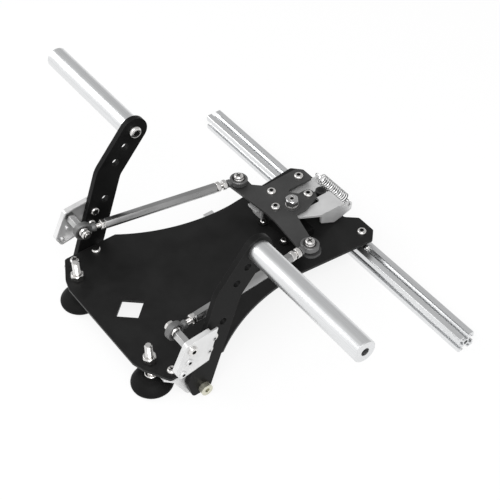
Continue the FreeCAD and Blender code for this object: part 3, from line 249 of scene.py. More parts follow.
# %% Node group for edges
def edge_group():
    """A mask of sharp edges, and a normal that rounds them."""
    group, given, made = new_group("rounded_edges", [("Radius", 0.4 * MM)], ["Edge"])
    group.interface.new_socket("Normal", in_out="OUTPUT", socket_type="NodeSocketVector")
    rounded = group.nodes.new("ShaderNodeBevel")
    rounded.samples = 4
    flat = group.nodes.new("ShaderNodeNewGeometry")
    agree = group.nodes.new("ShaderNodeVectorMath")
    agree.operation = "DOT_PRODUCT"
    mask = group.nodes.new("ShaderNodeMapRange")
    for label, value in (("From Min", 0.99), ("From Max", 0.8), ("To Min", 0.0), ("To Max", 1.0)):
        mask.inputs[label].default_value = value
    group.links.new(given.outputs["Radius"], rounded.inputs["Radius"])
    group.links.new(rounded.outputs["Normal"], agree.inputs[0])
    group.links.new(flat.outputs["Normal"], agree.inputs[1])
    group.links.new(agree.outputs["Value"], mask.inputs["Value"])
    group.links.new(mask.outputs["Result"], made.inputs["Edge"])
    group.links.new(rounded.outputs["Normal"], made.inputs["Normal"])
    return group


EDGES = edge_group()
print("node group:", EDGES.name)


# %% [markdown]
# A finish is one Principled shader. Its colour and roughness move a little with the smudges, and its surface
# rises and falls with the grain or the brush lines. Plain numbers are set on the shader's own sockets.

# %% Nodes that a finish joins
NOISE_LOW, NOISE_HIGH = 0.3, 0.7


def blend_between(material, mask, low, high):
    """Spread the middle range of a noise over two values."""
    spread = material.node_tree.nodes.new("ShaderNodeMapRange")
    spread.inputs["From Min"].default_value = NOISE_LOW
    spread.inputs["From Max"].default_value = NOISE_HIGH
    spread.inputs["To Min"].default_value = low
    spread.inputs["To Max"].default_value = high
    material.node_tree.links.new(mask, spread.inputs["Value"])
    return spread.outputs["Result"]


def place_group(material, group, **values):
    node = material.node_tree.nodes.new("ShaderNodeGroup")
    node.node_tree = group
    for label, value in values.items():
        node.inputs[label.replace("_", " ")].default_value = value
    return node


def mix_colours(material, factor, first, second):
    """A mix of two colours, each a plain colour or the output of a node."""
    mix = material.node_tree.nodes.new("ShaderNodeMix")
    mix.data_type = "RGBA"
    for label, colour in (("A", first), ("B", second)):
        socket = next(s for s in mix.inputs if s.name == label and s.type == "RGBA")
        if isinstance(colour, tuple):
            socket.default_value = (*colour, 1)
        else:
            material.node_tree.links.new(colour, socket)
    material.node_tree.links.new(factor, mix.inputs["Factor"])
    return next(s for s in mix.outputs if s.type == "RGBA")


# %% Build a finish
RELIEF_DEPTH = 0.02 * MM


def finish_of(name, colours, metallic, rough, bump, grain_scale=1500.0, lines=None, edge_wear_and_highlight=None, gloss=0.5):
    """A finish between two colours and two roughness values. Where an edge colour is given, edges are lighter:
    partly coat worn thin, partly a painted highlight.
    """
    material = bpy.data.materials.new(name)
    material.use_nodes = True
    nodes, links = material.node_tree.nodes, material.node_tree.links
    shader = nodes["Principled BSDF"]
    shader.inputs["Metallic"].default_value = metallic
    shader.inputs["Specular IOR Level"].default_value = gloss
    grain = place_group(material, GRAIN, Grain_scale=grain_scale)
    surface, mask = grain.outputs["Grain"], grain.outputs["Smudge"]
    if lines is not None:
        brush = place_group(material, BRUSH, Along_X=lines[0], Along_Y=lines[1], Along_Z=lines[2])
        surface = mask = brush.outputs["Lines"]
    colour = mix_colours(material, blend_between(material, mask, 0.0, 1.0), *colours)
    relief = nodes.new("ShaderNodeBump")
    relief.inputs["Strength"].default_value = bump
    relief.inputs["Distance"].default_value = RELIEF_DEPTH
    # Lighter edges: partly coat worn thin, partly a painted highlight where the light catches them.
    if edge_wear_and_highlight is not None:
        edges = place_group(material, EDGES)
        colour = mix_colours(material, edges.outputs["Edge"], colour, edge_wear_and_highlight)
        links.new(edges.outputs["Normal"], relief.inputs["Normal"])
    links.new(colour, shader.inputs["Base Color"])
    links.new(blend_between(material, grain.outputs["Smudge"], *rough), shader.inputs["Roughness"])
    links.new(surface, relief.inputs["Height"])
    links.new(relief.outputs["Normal"], shader.inputs["Normal"])
    return material


# %% [markdown]
# The bare metal is set by its lightness and the width of its shine, and the coats by how dark they are: the
# base plate is darker than the crank. The arms and the housing get a darker copy of the black coat as painted
# shade, and the ball standoffs and the post nut a darker zinc with bright edges as painted reflections. Drawn
# bars get brush lines along X.

# %% The finishes of this object
def grey(level, warmth=0.0):
    return (level * (1 + warmth), level, level * (1 - warmth))


ALONG_BAR = (5.0, 1200.0, 1200.0)
FINISHES = {
    "aluminium": finish_of("drawn_aluminium", (grey(0.70, -0.01), grey(0.84, -0.01)), 1.0, (0.26, 0.36), 0.25,
                           lines=ALONG_BAR),
    "plate_black": finish_of("plate_powder_coat", (grey(0.006), grey(0.011)), 0.0, (0.36, 0.48), 0.5,
                             grain_scale=1800.0, edge_wear_and_highlight=grey(0.05), gloss=0.19),
    # A darker copy of the black coat: painted shade on the arms and the housing.
    "black_painted_shade": finish_of("powder_coat_painted_shade", (grey(0.004), grey(0.007)), 0.0, (0.38, 0.5), 0.5,
                           grain_scale=1800.0, edge_wear_and_highlight=grey(0.045), gloss=0.1),
    "crank_grey": finish_of("crank_powder_coat", (grey(0.034), grey(0.046)), 0.0, (0.38, 0.5), 0.5,
                            grain_scale=1800.0, edge_wear_and_highlight=grey(0.1), gloss=0.3),
    "zinc": finish_of("bright_zinc", (grey(0.66, 0.015), grey(0.80, 0.02)), 1.0, (0.12, 0.28), 0.3),
    "yellow_zinc": finish_of("yellow_zinc", ((0.62, 0.61, 0.5), (0.76, 0.75, 0.64)), 0.8, (0.26, 0.4), 0.3,
                             edge_wear_and_highlight=(0.84, 0.83, 0.72)),
    "pressed": finish_of("pressed_zinc_sheet", (grey(0.64), grey(0.75)), 0.6, (0.36, 0.5), 0.4,
                         edge_wear_and_highlight=grey(0.86)),
    "eye": finish_of("satin_rod_end", (grey(0.13), grey(0.19)), 0.7, (0.42, 0.56), 0.5),
    # Zinc darkened to paint the dark reflections in its facets, with a painted highlight on its edges.
    "standoff": finish_of("zinc_with_painted_reflections", (grey(0.46), grey(0.58)), 1.0, (0.16, 0.28), 0.3,
                          edge_wear_and_highlight=grey(0.9)),
    "rod_steel": finish_of("drawn_rod_steel", (grey(0.34), grey(0.42)), 1.0, (0.26, 0.36), 0.3,
                           edge_wear_and_highlight=grey(0.6)),
    "spring_wire": finish_of("spring_wire", (grey(0.70), grey(0.84)), 1.0, (0.12, 0.2), 0.2),
    "chrome": finish_of("nickel_shell", (grey(0.72), grey(0.82)), 1.0, (0.12, 0.2), 0.15),
    "brass": finish_of("brass_liner", ((0.55, 0.42, 0.18), (0.68, 0.54, 0.26)), 1.0, (0.2, 0.34), 0.3),
    "rubber": finish_of("foot_rubber", (grey(0.003), grey(0.006)), 0.0, (0.5, 0.66), 0.8, grain_scale=900.0,
                        gloss=0.11),
    "plastic": finish_of("black_plastic", (grey(0.012), grey(0.019)), 0.0, (0.34, 0.46), 0.4, gloss=0.4),
    # Painted shade for the inside of small holes: sockets and drilled ends.
    "recess": finish_of("painted_recess_shade", (grey(0.012), grey(0.03)), 0.4, (0.45, 0.6), 0.4, gloss=0.2),
}
print("finishes:", ", ".join(FINISHES))


# %% [markdown]
# A new piece needs three things: its finish, the body that it moves with, and the names of the CAD nodes that
# it stands for.

# %% Dress a new piece
def dress(piece, finish, body=None, stands_for=()):
    """Give a new piece its finish, its body and the node that it stands for."""
    if piece.data.materials:
        piece.data.materials[0] = FINISHES[finish]
    else:
        piece.data.materials.append(FINISHES[finish])
    if body:
        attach(piece, body)
    if stands_for:
        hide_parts(*stands_for)
    return piece


# %% [markdown]
# The plates, bars, levers and trays keep their CAD shape. Only their finish is chosen here. The name of a
# node that comes in a pair ends in its side, so the name without it finds the finish. What isn't listed is
# zinc.

# %% Finish the CAD nodes
NODE_FINISH = {
    "crossbar": "aluminium", "crossbar_spacers": "plate_black", "crossbar_t_nuts": "zinc",
    "base_plate": "plate_black", "pivot_brackets": "pressed", "pivot_bolts": "yellow_zinc",
    "fixed_pin": "plate_black", "fixed_sleeve": "plastic", "pivot_housing": "black_painted_shade", "pivot_post": "zinc",
    "sensor_bracket": "pressed", "electronics_box": "plastic", "lead_socket": "chrome",
    "lever_left": "pressed", "lever_right": "pressed", "crank_plate": "crank_grey", "drive_sleeve": "plastic",
    "pivot_bush": "brass", "pedal_arm": "black_painted_shade", "foot_bar": "aluminium", "rod_bracket": "pressed",
    "rod_race": "eye",
}
for label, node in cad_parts.items():
    stem = label if label in NODE_FINISH else label.rsplit("_", 1)[0]
    finish = FINISHES[NODE_FINISH.get(stem, "zinc")]
    node.data.materials.clear()
    node.data.materials.append(finish)
print("CAD nodes with a finish:", len(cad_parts))


# %% [markdown]
# The rubber feet are moulded cups: a flat sole, a rounded rim, a sloping shoulder and a short neck round the
# stud. A turned profile with an arc at the rim gives the soft edge that the CAD bands only suggest.

# %% Rubber feet
def arc(radius, centre, start, end, steps):
    """Points of an arc as (radius, height), with angles in degrees from the outward direction."""
    turns = [math.radians(start + (end - start) * step / steps) for step in range(steps + 1)]
    return [(centre[0] + radius * math.cos(turn), centre[1] + radius * math.sin(turn)) for turn in turns]


foot_low, foot_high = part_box("foot_pads")
FOOT_RADIUS = (foot_high.y - foot_low.y) / 2
FOOT_X = foot_high.x - FOOT_RADIUS
FOOT_Y = (foot_low.y + foot_high.y) / 2
FOOT_HEIGHT = foot_high.z
RIM = 4.5 * MM
SOLE = [(15 * MM, 0.8 * MM), (16.5 * MM, 0)]
SHOULDER = [(18.6 * MM, 10.2 * MM), (15.6 * MM, 12.6 * MM), (12.4 * MM, 14.0 * MM)]
NECK = [(10.2 * MM, 14.6 * MM), (9.6 * MM, FOOT_HEIGHT)]
rounded_rim = arc(RIM, (FOOT_RADIUS - RIM, RIM), -90, 35, 8)
foot = turn("foot", SOLE + rounded_rim + SHOULDER + NECK, 64)
for side, sign in SIDES:
    pad = settle(twin(foot, f"rubber_foot_{side}"), (sign * FOOT_X, FOOT_Y, 0))
    dress(pad, "rubber", "base", ("foot_pads",))
bpy.data.objects.remove(foot)
print("rubber feet:", round(2 * FOOT_RADIUS / MM, 1), "wide,", round(FOOT_HEIGHT / MM, 1), "high")


# %% [markdown]
# A thread is a helix, but at this size a stack of fine rings reads the same and stays a closed piece. The
# rings go straight into the turned profile.

# %% Threads and hexagons
M6_PITCH = 1 * MM
M8_PITCH = 1.25 * MM
THREAD_DEPTH = 0.55


def thread(radius, low, high, pitch):
    """Rings of a thread between two heights."""
    rings = []
    turns = max(int((high - low) / pitch), 1)
    depth = THREAD_DEPTH * pitch
    for step in range(turns):
        start = low + (high - low) * step / turns
        rings += [(radius - depth, start), (radius, start + 0.5 * (high - low) / turns)]
    return rings + [(radius - depth, high)]


def prism(flats, low, high, sides=6):
    """A bar on Z between two heights, with its width across flats."""
    deselect()
    bpy.ops.mesh.primitive_cylinder_add(
        vertices=sides, radius=flats / 2 / math.cos(math.pi / sides), depth=high - low,
        location=(0, 0, (low + high) / 2))
    bpy.ops.object.transform_apply(location=True, rotation=True, scale=True)
    return bpy.context.object


def hexagon_nut(name, flats, low, high, bore):
    """A nut with its corners turned off at both ends."""
    face_radius = flats * 0.46
    corner = flats / math.sqrt(3) + 0.2 * MM
    drop = 0.12 * flats
    piece = prism(flats, low, high)
    piece.name = name
    barrel = turn("barrel", [
        (face_radius, low), (corner, low + drop), (corner, high - drop), (face_radius, high)], 48)
    combine(piece, barrel, "INTERSECT")
    if bore:
        cut(piece, turn("bore", [(bore, low - MM), (bore, high + MM)], 32))
    return soften(piece, 0.12 * MM)


# %% [markdown]
# Each foot has a threaded stud with a round neck. A thick nut above the base plate and a thin one below it
# clamp the plate.

# %% Foot studs and their nuts
STUD_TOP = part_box("foot_studs")[1].z
NECK_RADIUS = 7 * MM
NECK_HALF = 2.6 * MM
NUT_HEIGHT = 8 * MM
JAM_HEIGHT = 5 * MM
NUT_BORE = M8_RADIUS - 0.5 * MM
stud_profile = [(3.4 * MM, FOOT_HEIGHT - 3 * MM), (NECK_RADIUS, FOOT_HEIGHT - NECK_HALF)]
stud_profile += [(NECK_RADIUS, FOOT_HEIGHT + 2 * MM), (NECK_RADIUS - 0.6 * MM, FOOT_HEIGHT + 2.5 * MM)]
stud_profile += thread(M8_RADIUS, FOOT_HEIGHT + NECK_HALF, STUD_TOP - 1 * MM, M8_PITCH)
stud_profile += [(M8_RADIUS - 1.1 * MM, STUD_TOP)]
stud = turn("stud", stud_profile, 36)
top_nut = hexagon_nut("top_nut", M8_FLATS, PLATE_TOP, PLATE_TOP + NUT_HEIGHT, NUT_BORE)
low_nut = hexagon_nut("low_nut", M8_FLATS, PLATE_BOTTOM - JAM_HEIGHT, PLATE_BOTTOM, NUT_BORE)
for side, sign in SIDES:
    for label, source in (("foot_stud", stud), ("foot_nut", top_nut), ("foot_jam_nut", low_nut)):
        piece = settle(twin(source, f"{label}_{side}"), (sign * FOOT_X, FOOT_Y, 0))
        dress(piece, "zinc", "base", ("foot_studs",))
for source in (stud, top_nut, low_nut):
    bpy.data.objects.remove(source)
print("foot studs end at", round(STUD_TOP / MM, 1))


# %% [markdown]
# The screws that hold the plates are domed, most with a hexagon socket and some with a cross. The dome is an
# arc in the turned profile, and the recess is cut by a six-sided bar or by two crossed bars. Its walls and
# floor get painted shade, a dark colour for the shade in such a small hole.

# %% Recesses
def cross_cutter(length, width, low, high):
    """Two crossed bars that cut a cross recess."""
    bars = []
    for size in ((length, width), (width, length)):
        deselect()
        bpy.ops.mesh.primitive_cube_add(size=1, location=(0, 0, (low + high) / 2))
        bars.append(bpy.context.object)
        bars[-1].scale = (*size, high - low)
        bpy.ops.object.transform_apply(location=True, rotation=True, scale=True)
    return weld(*bars)


WALL_TILT = 0.3
SAME_HEIGHT = 0.05 * MM


def paint_recess_shade(piece, reach, floor_height):
    """Paint shade on the walls and the floor of a recess, in a dark colour of their own."""
    piece.data.materials.append(FINISHES["zinc"])
    piece.data.materials.append(FINISHES["recess"])
    for face in piece.data.polygons:
        near_axis = math.hypot(face.center.x, face.center.y) < reach
        wall = abs(face.normal.z) < WALL_TILT and face.center.z > floor_height
        sunk = abs(face.center.z - floor_height) < SAME_HEIGHT
        if near_axis and (wall or sunk):
            face.material_index = 1
    return piece


# %% A domed screw
DOME_STEPS = range(0, 91, 15)
DOME_NARROWS = 0.42
RIM_SHARE = 0.22
UNDER_HEAD = 0.6 * MM
HEAD_EDGE = 0.15 * MM
FLOOR_SHARE = 0.35
HEXAGON_FLATS = 0.84
CROSS_LENGTH, CROSS_WIDTH = 1.16, 0.26
RECESS_REACH = 0.62


def domed_screw(name, radius, head_radius, head_height, length, recess="hexagon"):
    """A screw on Z: the head stands on z = 0 and the thread hangs below."""
    rim = RIM_SHARE * head_height
    rise = head_height - rim
    dome = [
        (head_radius * (1 - DOME_NARROWS * (1 - math.cos(turn))), rim + rise * math.sin(turn))
        for turn in (math.radians(angle) for angle in DOME_STEPS)
    ]
    profile = thread(radius, -length, -UNDER_HEAD, M6_PITCH) + [(radius, 0), (head_radius - HEAD_EDGE, 0)]
    profile += [(head_radius, HEAD_EDGE)] + dome + [(DOME_NARROWS * head_radius, head_height)]
    piece = turn(name, profile, 40)
    floor_height = FLOOR_SHARE * head_height
    if recess == "hexagon":
        cutter = prism(HEXAGON_FLATS * head_radius, floor_height, 2 * head_height)
    else:
        cutter = cross_cutter(
            CROSS_LENGTH * head_radius, CROSS_WIDTH * head_radius, floor_height, 2 * head_height)
    # The walls and floor of the recess get painted shade.
    return paint_recess_shade(cut(piece, cutter), RECESS_REACH * head_radius, floor_height)


# %% [markdown]
# One screw of each size is made, and a copy with a mesh of its own goes to every place. The places of the
# long screws come from the CAD nodes that they stand for.

# %% Screws of the plate, the housing and the crank
M6_HEAD = (5.25 * MM, 3.3 * MM)
M5_HEAD = (4.75 * MM, 2.75 * MM)
M8_HEAD = (7 * MM, 4.4 * MM)
bar_screw = domed_screw("bar_screw", M6_RADIUS, *M6_HEAD, PLATE_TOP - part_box("crossbar_bolts")[0].z)
sheet_screw = domed_screw(
    "sheet_screw", M6_RADIUS, *M6_HEAD, PLATE_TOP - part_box("bracket_screws")[0].z, recess="cross")
spare_screw = domed_screw("spare_screw", M6_RADIUS, *M6_HEAD, CRANK_SHEET)
small_screw = domed_screw("small_screw", 2 * MM, 3.6 * MM, 2.2 * MM, 3 * MM)
BAR_SCREW_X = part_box("crossbar_bolts")[1].x - M6_HEAD[0]
BRACKET_SCREW_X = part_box("bracket_screws")[1].x - M6_HEAD[0]
BRACKET_SCREW_Y = [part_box("bracket_screws")[0].y + M6_HEAD[0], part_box("bracket_screws")[1].y - M6_HEAD[0]]
HOUSING_EAR = Vector((18.5, 77, 39)) * MM
CRANK_SCREWS = [Vector(place) * MM for place in ((30, 57, 63), (8, 68, 63), (32, 18, 63))]

for side, sign in SIDES:
    piece = settle(twin(bar_screw, f"bar_screw_{side}"), (sign * BAR_SCREW_X, 0, PLATE_TOP))
    dress(piece, "zinc", "base", ("crossbar_bolts",))
    for row, y in enumerate(BRACKET_SCREW_Y, start=1):
        place = (sign * BRACKET_SCREW_X, y, PLATE_TOP)
        piece = settle(twin(sheet_screw, f"bracket_screw_{side}_{row}"), place)
        dress(piece, "zinc", "base", ("bracket_screws",))
    place = (sign * HOUSING_EAR.x, HOUSING_EAR.y, HOUSING_EAR.z)
    dress(settle(twin(small_screw, f"housing_screw_{side}"), place), "zinc", "base")
for number, place in enumerate(CRANK_SCREWS, start=1):
    piece = settle(twin(spare_screw, f"crank_screw_{number}"), place)
    dress(piece, "zinc", "crank", ("crank_bolts",))
for source in (bar_screw, sheet_screw, spare_screw, small_screw):
    bpy.data.objects.remove(source)
print("screws stand at", round(PLATE_TOP / MM, 1), "and", round(CRANK_TOP / MM, 1))


# %% [markdown]
# The drive pin is a shoulder screw through the crank plate. Its domed head shows on top, and below the plate
# it carries the sleeve that the levers close on.

# %% Drive pin
drive_low, drive_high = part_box("drive_pin")
DRIVE_X = (drive_low.x + drive_high.x) / 2
DRIVE_Y = (drive_low.y + drive_high.y) / 2
PIN_END_RADIUS = 4.8 * MM
PIN_END_TOP = drive_low.z + 1 * MM
drive = domed_screw("drive_screw", M6_RADIUS, *M6_HEAD, CRANK_SHEET)
settle(drive, (DRIVE_X, DRIVE_Y, CRANK_TOP))
shank = turn("drive_shank", [
    (PIN_END_RADIUS - 0.4 * MM, drive_low.z), (PIN_END_RADIUS, drive_low.z + 0.3 * MM),
    (PIN_END_RADIUS, PIN_END_TOP), (M8_RADIUS, PIN_END_TOP), (M8_RADIUS, CRANK_BOTTOM),
])
settle(shank, (DRIVE_X, DRIVE_Y, 0))
for piece in (drive, shank):
    dress(piece, "zinc", "crank", ("drive_pin",))
print("drive pin at", round(DRIVE_X / MM, 1), round(DRIVE_Y / MM, 1))


# %% [markdown]
# The pedal bolts and the tray's fasteners lie across the pedals. The same screws are made once on Z and
# turned to point along X, and mirrored places serve the left side. The far end of each tray screw shows as a
# small drilled stub on the outer face of the tray.

# %% Fasteners of a pedal
ARM = {side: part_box(f"pedal_arm_{side}") for side, _ in SIDES}
ARM_INNER = min(abs(ARM["right"][0].x), abs(ARM["right"][1].x))
ARM_OUTER = max(abs(ARM["right"][0].x), abs(ARM["right"][1].x))
TRAY_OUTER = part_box("rod_bracket_right")[1].x
TRAY_SHEET = 2 * MM
FOOT_BAR_GRIP = 30 * MM
M5_RADIUS = 2.5 * MM
FLAT_HEAD = (4.1 * MM, 1.5 * MM)
END_RADIUS = 1.9 * MM
END_LENGTH = 0.9 * MM
DRILLED = 1.3 * MM
DRILL_FLOOR = 0.2 * MM
SPACER_RADIUS = 5 * MM
bar_bolt = domed_screw("bar_bolt", M8_RADIUS, *M8_HEAD, ARM_OUTER - ARM_INNER + FOOT_BAR_GRIP)
tray_screw = domed_screw("tray_screw", M5_RADIUS, *M5_HEAD, TRAY_OUTER - ARM_INNER - END_LENGTH)
spare = domed_screw("spare", M5_RADIUS, *FLAT_HEAD, 5.5 * MM)
screw_end = turn("screw_end", [(END_RADIUS, 0), (END_RADIUS, END_LENGTH)])
cut(screw_end, turn("drill", [(DRILLED, DRILL_FLOOR), (DRILLED, 2 * MM)], 20))
# The drilled hole in the stub gets painted shade.
paint_recess_shade(screw_end, 1.1 * DRILLED, DRILL_FLOOR)
spacer = turn("spacer", [(SPACER_RADIUS, 0), (SPACER_RADIUS, TRAY_OUTER - ARM_OUTER - TRAY_SHEET)])
print("arms from", round(ARM_INNER / MM, 1), "to", round(ARM_OUTER / MM, 1))

# %% Their places on both pedals
FOOT_BAR_Y = sum(corner.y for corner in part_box("foot_bar_right")) / 2
FOOT_BAR_Z = sum(corner.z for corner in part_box("foot_bar_right")) / 2
TRAY_SCREWS = [(234.5 * MM, 80 * MM), (241 * MM, 65.8 * MM)]
SPARE_SCREWS = [(265 * MM, 66.3 * MM), (273 * MM, 54.2 * MM)]
for side, sign in SIDES:
    outward, inward = along((sign, 0, 0)), along((-sign, 0, 0))
    body = f"pedal_{side}"
    place = (sign * ARM_INNER, FOOT_BAR_Y, FOOT_BAR_Z)
    piece = settle(twin(bar_bolt, f"foot_bar_screw_{side}"), place, inward)
    dress(piece, "zinc", body, (f"foot_bar_bolt_{side}",))
    for row, (y, z) in enumerate(TRAY_SCREWS, start=1):
        piece = settle(twin(tray_screw, f"tray_screw_{side}_{row}"), (sign * ARM_INNER, y, z), inward)
        dress(piece, "zinc", body, (f"bracket_bolts_{side}",))
        piece = settle(twin(spacer, f"tray_spacer_{side}_{row}"), (sign * ARM_OUTER, y, z), outward)
        dress(piece, "zinc", body, (f"bracket_bolts_{side}",))
        end_place = (sign * (TRAY_OUTER - END_LENGTH), y, z)
        piece = settle(twin(screw_end, f"tray_screw_end_{side}_{row}"), end_place, outward)
        dress(piece, "pressed", body, (f"bracket_bolts_{side}",))
    for row, (y, z) in enumerate(SPARE_SCREWS, start=1):
        piece = settle(twin(spare, f"spare_screw_{side}_{row}"), (sign * TRAY_OUTER, y, z), outward)
        dress(piece, "pressed", body)
for source in (bar_bolt, tray_screw, screw_end, spare, spacer):
    bpy.data.objects.remove(source)
print("foot bars at", round(FOOT_BAR_Y / MM, 1), round(FOOT_BAR_Z / MM, 1))


# %% [markdown]
# A ball joint is a ball on a stud inside a flat eye. The ball must look polished and truly round, so it is
# turned from an arc. The stud has a hexagon standoff, a nut and a domed head, all on the same axis.

# %% Outer ball studs
BALL_RADIUS = 6.35 * MM
BALL_HALF = 4.5 * MM
M6_NUT_HEIGHT = 5 * MM
IN_NUT = 4 * MM
STAND_PAST_ARM = 4 * MM
OUTER_BALL = Vector((86, 260.5, 81)) * MM
INNER_BALL = Vector((63.3, 77, 67.5)) * MM


def ball_rings(steps=12):
    limit = math.degrees(math.asin(BALL_HALF / BALL_RADIUS))
    return arc(BALL_RADIUS, (0, 0), -limit, limit, steps)


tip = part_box("outer_ball_stud_right")[0].x - OUTER_BALL.x
stand_end = ARM_OUTER + STAND_PAST_ARM - OUTER_BALL.x
outer_ball = turn("outer_ball", ball_rings(), 48)
outer_stand = hexagon_nut("outer_stand", M6_FLATS, BALL_HALF, stand_end, 0)
outer_nut = hexagon_nut("outer_nut", M6_FLATS, -BALL_HALF - M6_NUT_HEIGHT, -BALL_HALF, 0)
outer_tip = turn("outer_tip", thread(M6_RADIUS, tip, -BALL_HALF - IN_NUT, M6_PITCH))
outer_head = domed_screw("outer_head", M6_RADIUS, *M6_HEAD, 2 * MM)
for side, sign in SIDES:
    ball_place = Vector((sign * OUTER_BALL.x, OUTER_BALL.y, OUTER_BALL.z))
    outward = along((sign, 0, 0))
    for label, source in (("outer_ball", outer_ball), ("ball_standoff", outer_stand), ("ball_nut", outer_nut),
                          ("ball_tip", outer_tip)):
        piece = settle(twin(source, f"{label}_{side}"), ball_place, outward)
        finish = "standoff" if label == "ball_standoff" else "zinc"
        dress(piece, finish, f"pedal_{side}", (f"outer_ball_stud_{side}",))
    head_place = (sign * TRAY_OUTER, OUTER_BALL.y, OUTER_BALL.z)
    piece = settle(twin(outer_head, f"ball_head_{side}"), head_place, outward)
    dress(piece, "zinc", f"pedal_{side}", (f"outer_ball_stud_{side}",))
for source in (outer_ball, outer_stand, outer_nut, outer_tip, outer_head):
    bpy.data.objects.remove(source)
print("outer ball", round(tip / MM, 1), "to", round(stand_end / MM, 1), "along its stud")

# %% Inner ball studs
inner_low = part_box("inner_ball_studs")[0].z - INNER_BALL.z
nut_top = CRANK_BOTTOM - INNER_BALL.z
inner_ball = turn("inner_ball", ball_rings(), 48)
inner_nut = hexagon_nut("inner_nut", M6_FLATS, nut_top - M6_NUT_HEIGHT, nut_top, 0)
inner_tip = turn("inner_tip", thread(M6_RADIUS, inner_low, nut_top - IN_NUT, M6_PITCH))
inner_head = domed_screw("inner_head", M6_RADIUS, *M6_HEAD, 2 * MM, recess="cross")
for side, sign in SIDES:
    ball_place = Vector((sign * INNER_BALL.x, INNER_BALL.y, INNER_BALL.z))
    for label, source, lift in (("inner_ball", inner_ball, 0), ("inner_nut", inner_nut, 0),
                                ("inner_tip", inner_tip, 0), ("inner_head", inner_head, BALL_HALF)):
        piece = settle(twin(source, f"{label}_{side}"), ball_place + UP * lift)
        dress(piece, "zinc", "crank", ("inner_ball_studs",))
for source in (inner_ball, inner_nut, inner_tip, inner_head):
    bpy.data.objects.remove(source)
print("inner ball", round(INNER_BALL.z / MM, 1), "above the floor")


# %% [markdown]
# A rod end is an eye forged with its neck. The eye is a chamfered disc with a bore, and the neck is turned
# and joined to it. Both bores leave room round the ball: the outer ball moves in its eye at the ends of the
# travel, and the inner eye also holds a race, which keeps its CAD shape.

# %% Rod ends
EYE_RADIUS = 10 * MM
EYE_HALF = 3.375 * MM
NECK_RADIUS_AT_END = 4.5 * MM
NECK_END = 14.5 * MM
OUTER_BORE = 7.3 * MM
INNER_BORE = 7.47 * MM
ACROSS = along((1, 0, 0))


def rod_end(name, bore):
    """An eye on X about the origin, with its neck along Z."""
    chamfer = 0.8 * MM
    eye = turn(name, [
        (EYE_RADIUS - chamfer, -EYE_HALF), (EYE_RADIUS, chamfer - EYE_HALF), (EYE_RADIUS, EYE_HALF - chamfer),
        (EYE_RADIUS - chamfer, EYE_HALF),
    ], 64)
    settle(eye, turned=ACROSS)
    neck = turn("neck", [
        (EYE_HALF, 8 * MM), (EYE_HALF + 0.3 * MM, 9.5 * MM), (NECK_RADIUS_AT_END, 11.5 * MM),
        (NECK_RADIUS_AT_END, NECK_END - 0.4 * MM), (NECK_RADIUS_AT_END - 0.4 * MM, NECK_END),
    ])
    weld(eye, neck)
    hole = settle(turn("hole", [(bore, -8 * MM), (bore, 8 * MM)], 64), turned=ACROSS)
    cut(eye, hole)
    return soften(eye, 0.25 * MM)


outer_end = rod_end("outer_end", OUTER_BORE)
inner_end = rod_end("inner_end", INNER_BORE)
print("eye bores:", round(OUTER_BORE / MM, 2), round(INNER_BORE / MM, 2))


# %% [markdown]
# The push rod is a hexagon bar with a threaded rod through it and jam nuts that lock the rod ends. It is
# built along Z from the inner ball and then turned to point at the outer ball.

# %% Push rods
BAR_FLATS = 10 * MM
BAR_FROM_INNER = 28.5 * MM
BAR_FROM_OUTER = 25 * MM
JAM_FLATS = 10.4 * MM
JAMS_FROM_INNER = (16 * MM, 23.5 * MM)
CORE_RADIUS = 2.6 * MM
for side, sign in SIDES:
    inner = Vector((sign * INNER_BALL.x, INNER_BALL.y, INNER_BALL.z))
    outer = Vector((sign * OUTER_BALL.x, OUTER_BALL.y, OUTER_BALL.z))
    line = (outer - inner).normalized()
    length = (outer - inner).length
    body = f"rod_{side}"
    piece = settle(twin(outer_end, f"outer_eye_{side}"), outer, along(-line, (1, 0, 0)))
    dress(piece, "eye", body, (f"outer_rod_end_{side}",))
    piece = settle(twin(inner_end, f"inner_eye_{side}"), inner, along(line, UP))
    dress(piece, "eye", body, (f"inner_rod_end_{side}",))
    bar_end = length - BAR_FROM_OUTER
    bar = hexagon_nut(f"rod_bar_{side}", BAR_FLATS, BAR_FROM_INNER, bar_end, 0)
    settle(bar, inner, along(line, UP))
    dress(bar, "rod_steel", body, (f"push_rod_{side}",))
    rod_profile = thread(M6_RADIUS, NECK_END, BAR_FROM_INNER, M6_PITCH) + [(CORE_RADIUS, bar_end)]
    rod_profile += thread(M6_RADIUS, bar_end, length - NECK_END, M6_PITCH)
    rod = settle(turn(f"rod_thread_{side}", rod_profile, 28), inner, along(line, UP))
    dress(rod, "zinc", body, (f"push_rod_{side}",))
    for number, start in enumerate((*JAMS_FROM_INNER, bar_end), start=1):
        jam = hexagon_nut(f"jam_nut_{side}_{number}", JAM_FLATS, start, start + M6_NUT_HEIGHT, 0)
        settle(jam, inner, along(line, UP))
        dress(jam, "zinc", body, (f"push_rod_{side}",))
for source in (outer_end, inner_end):
    bpy.data.objects.remove(source)
print("push rods:", round(length / MM, 1), "between the balls")


# %% [markdown]
# The post carries the crank. Its washer and nut show from above, so they get a thread and turned-off corners.
# The post ends at the top of its nut and has a small hexagon socket, painted with shade so that it shows as a
# dark hole.

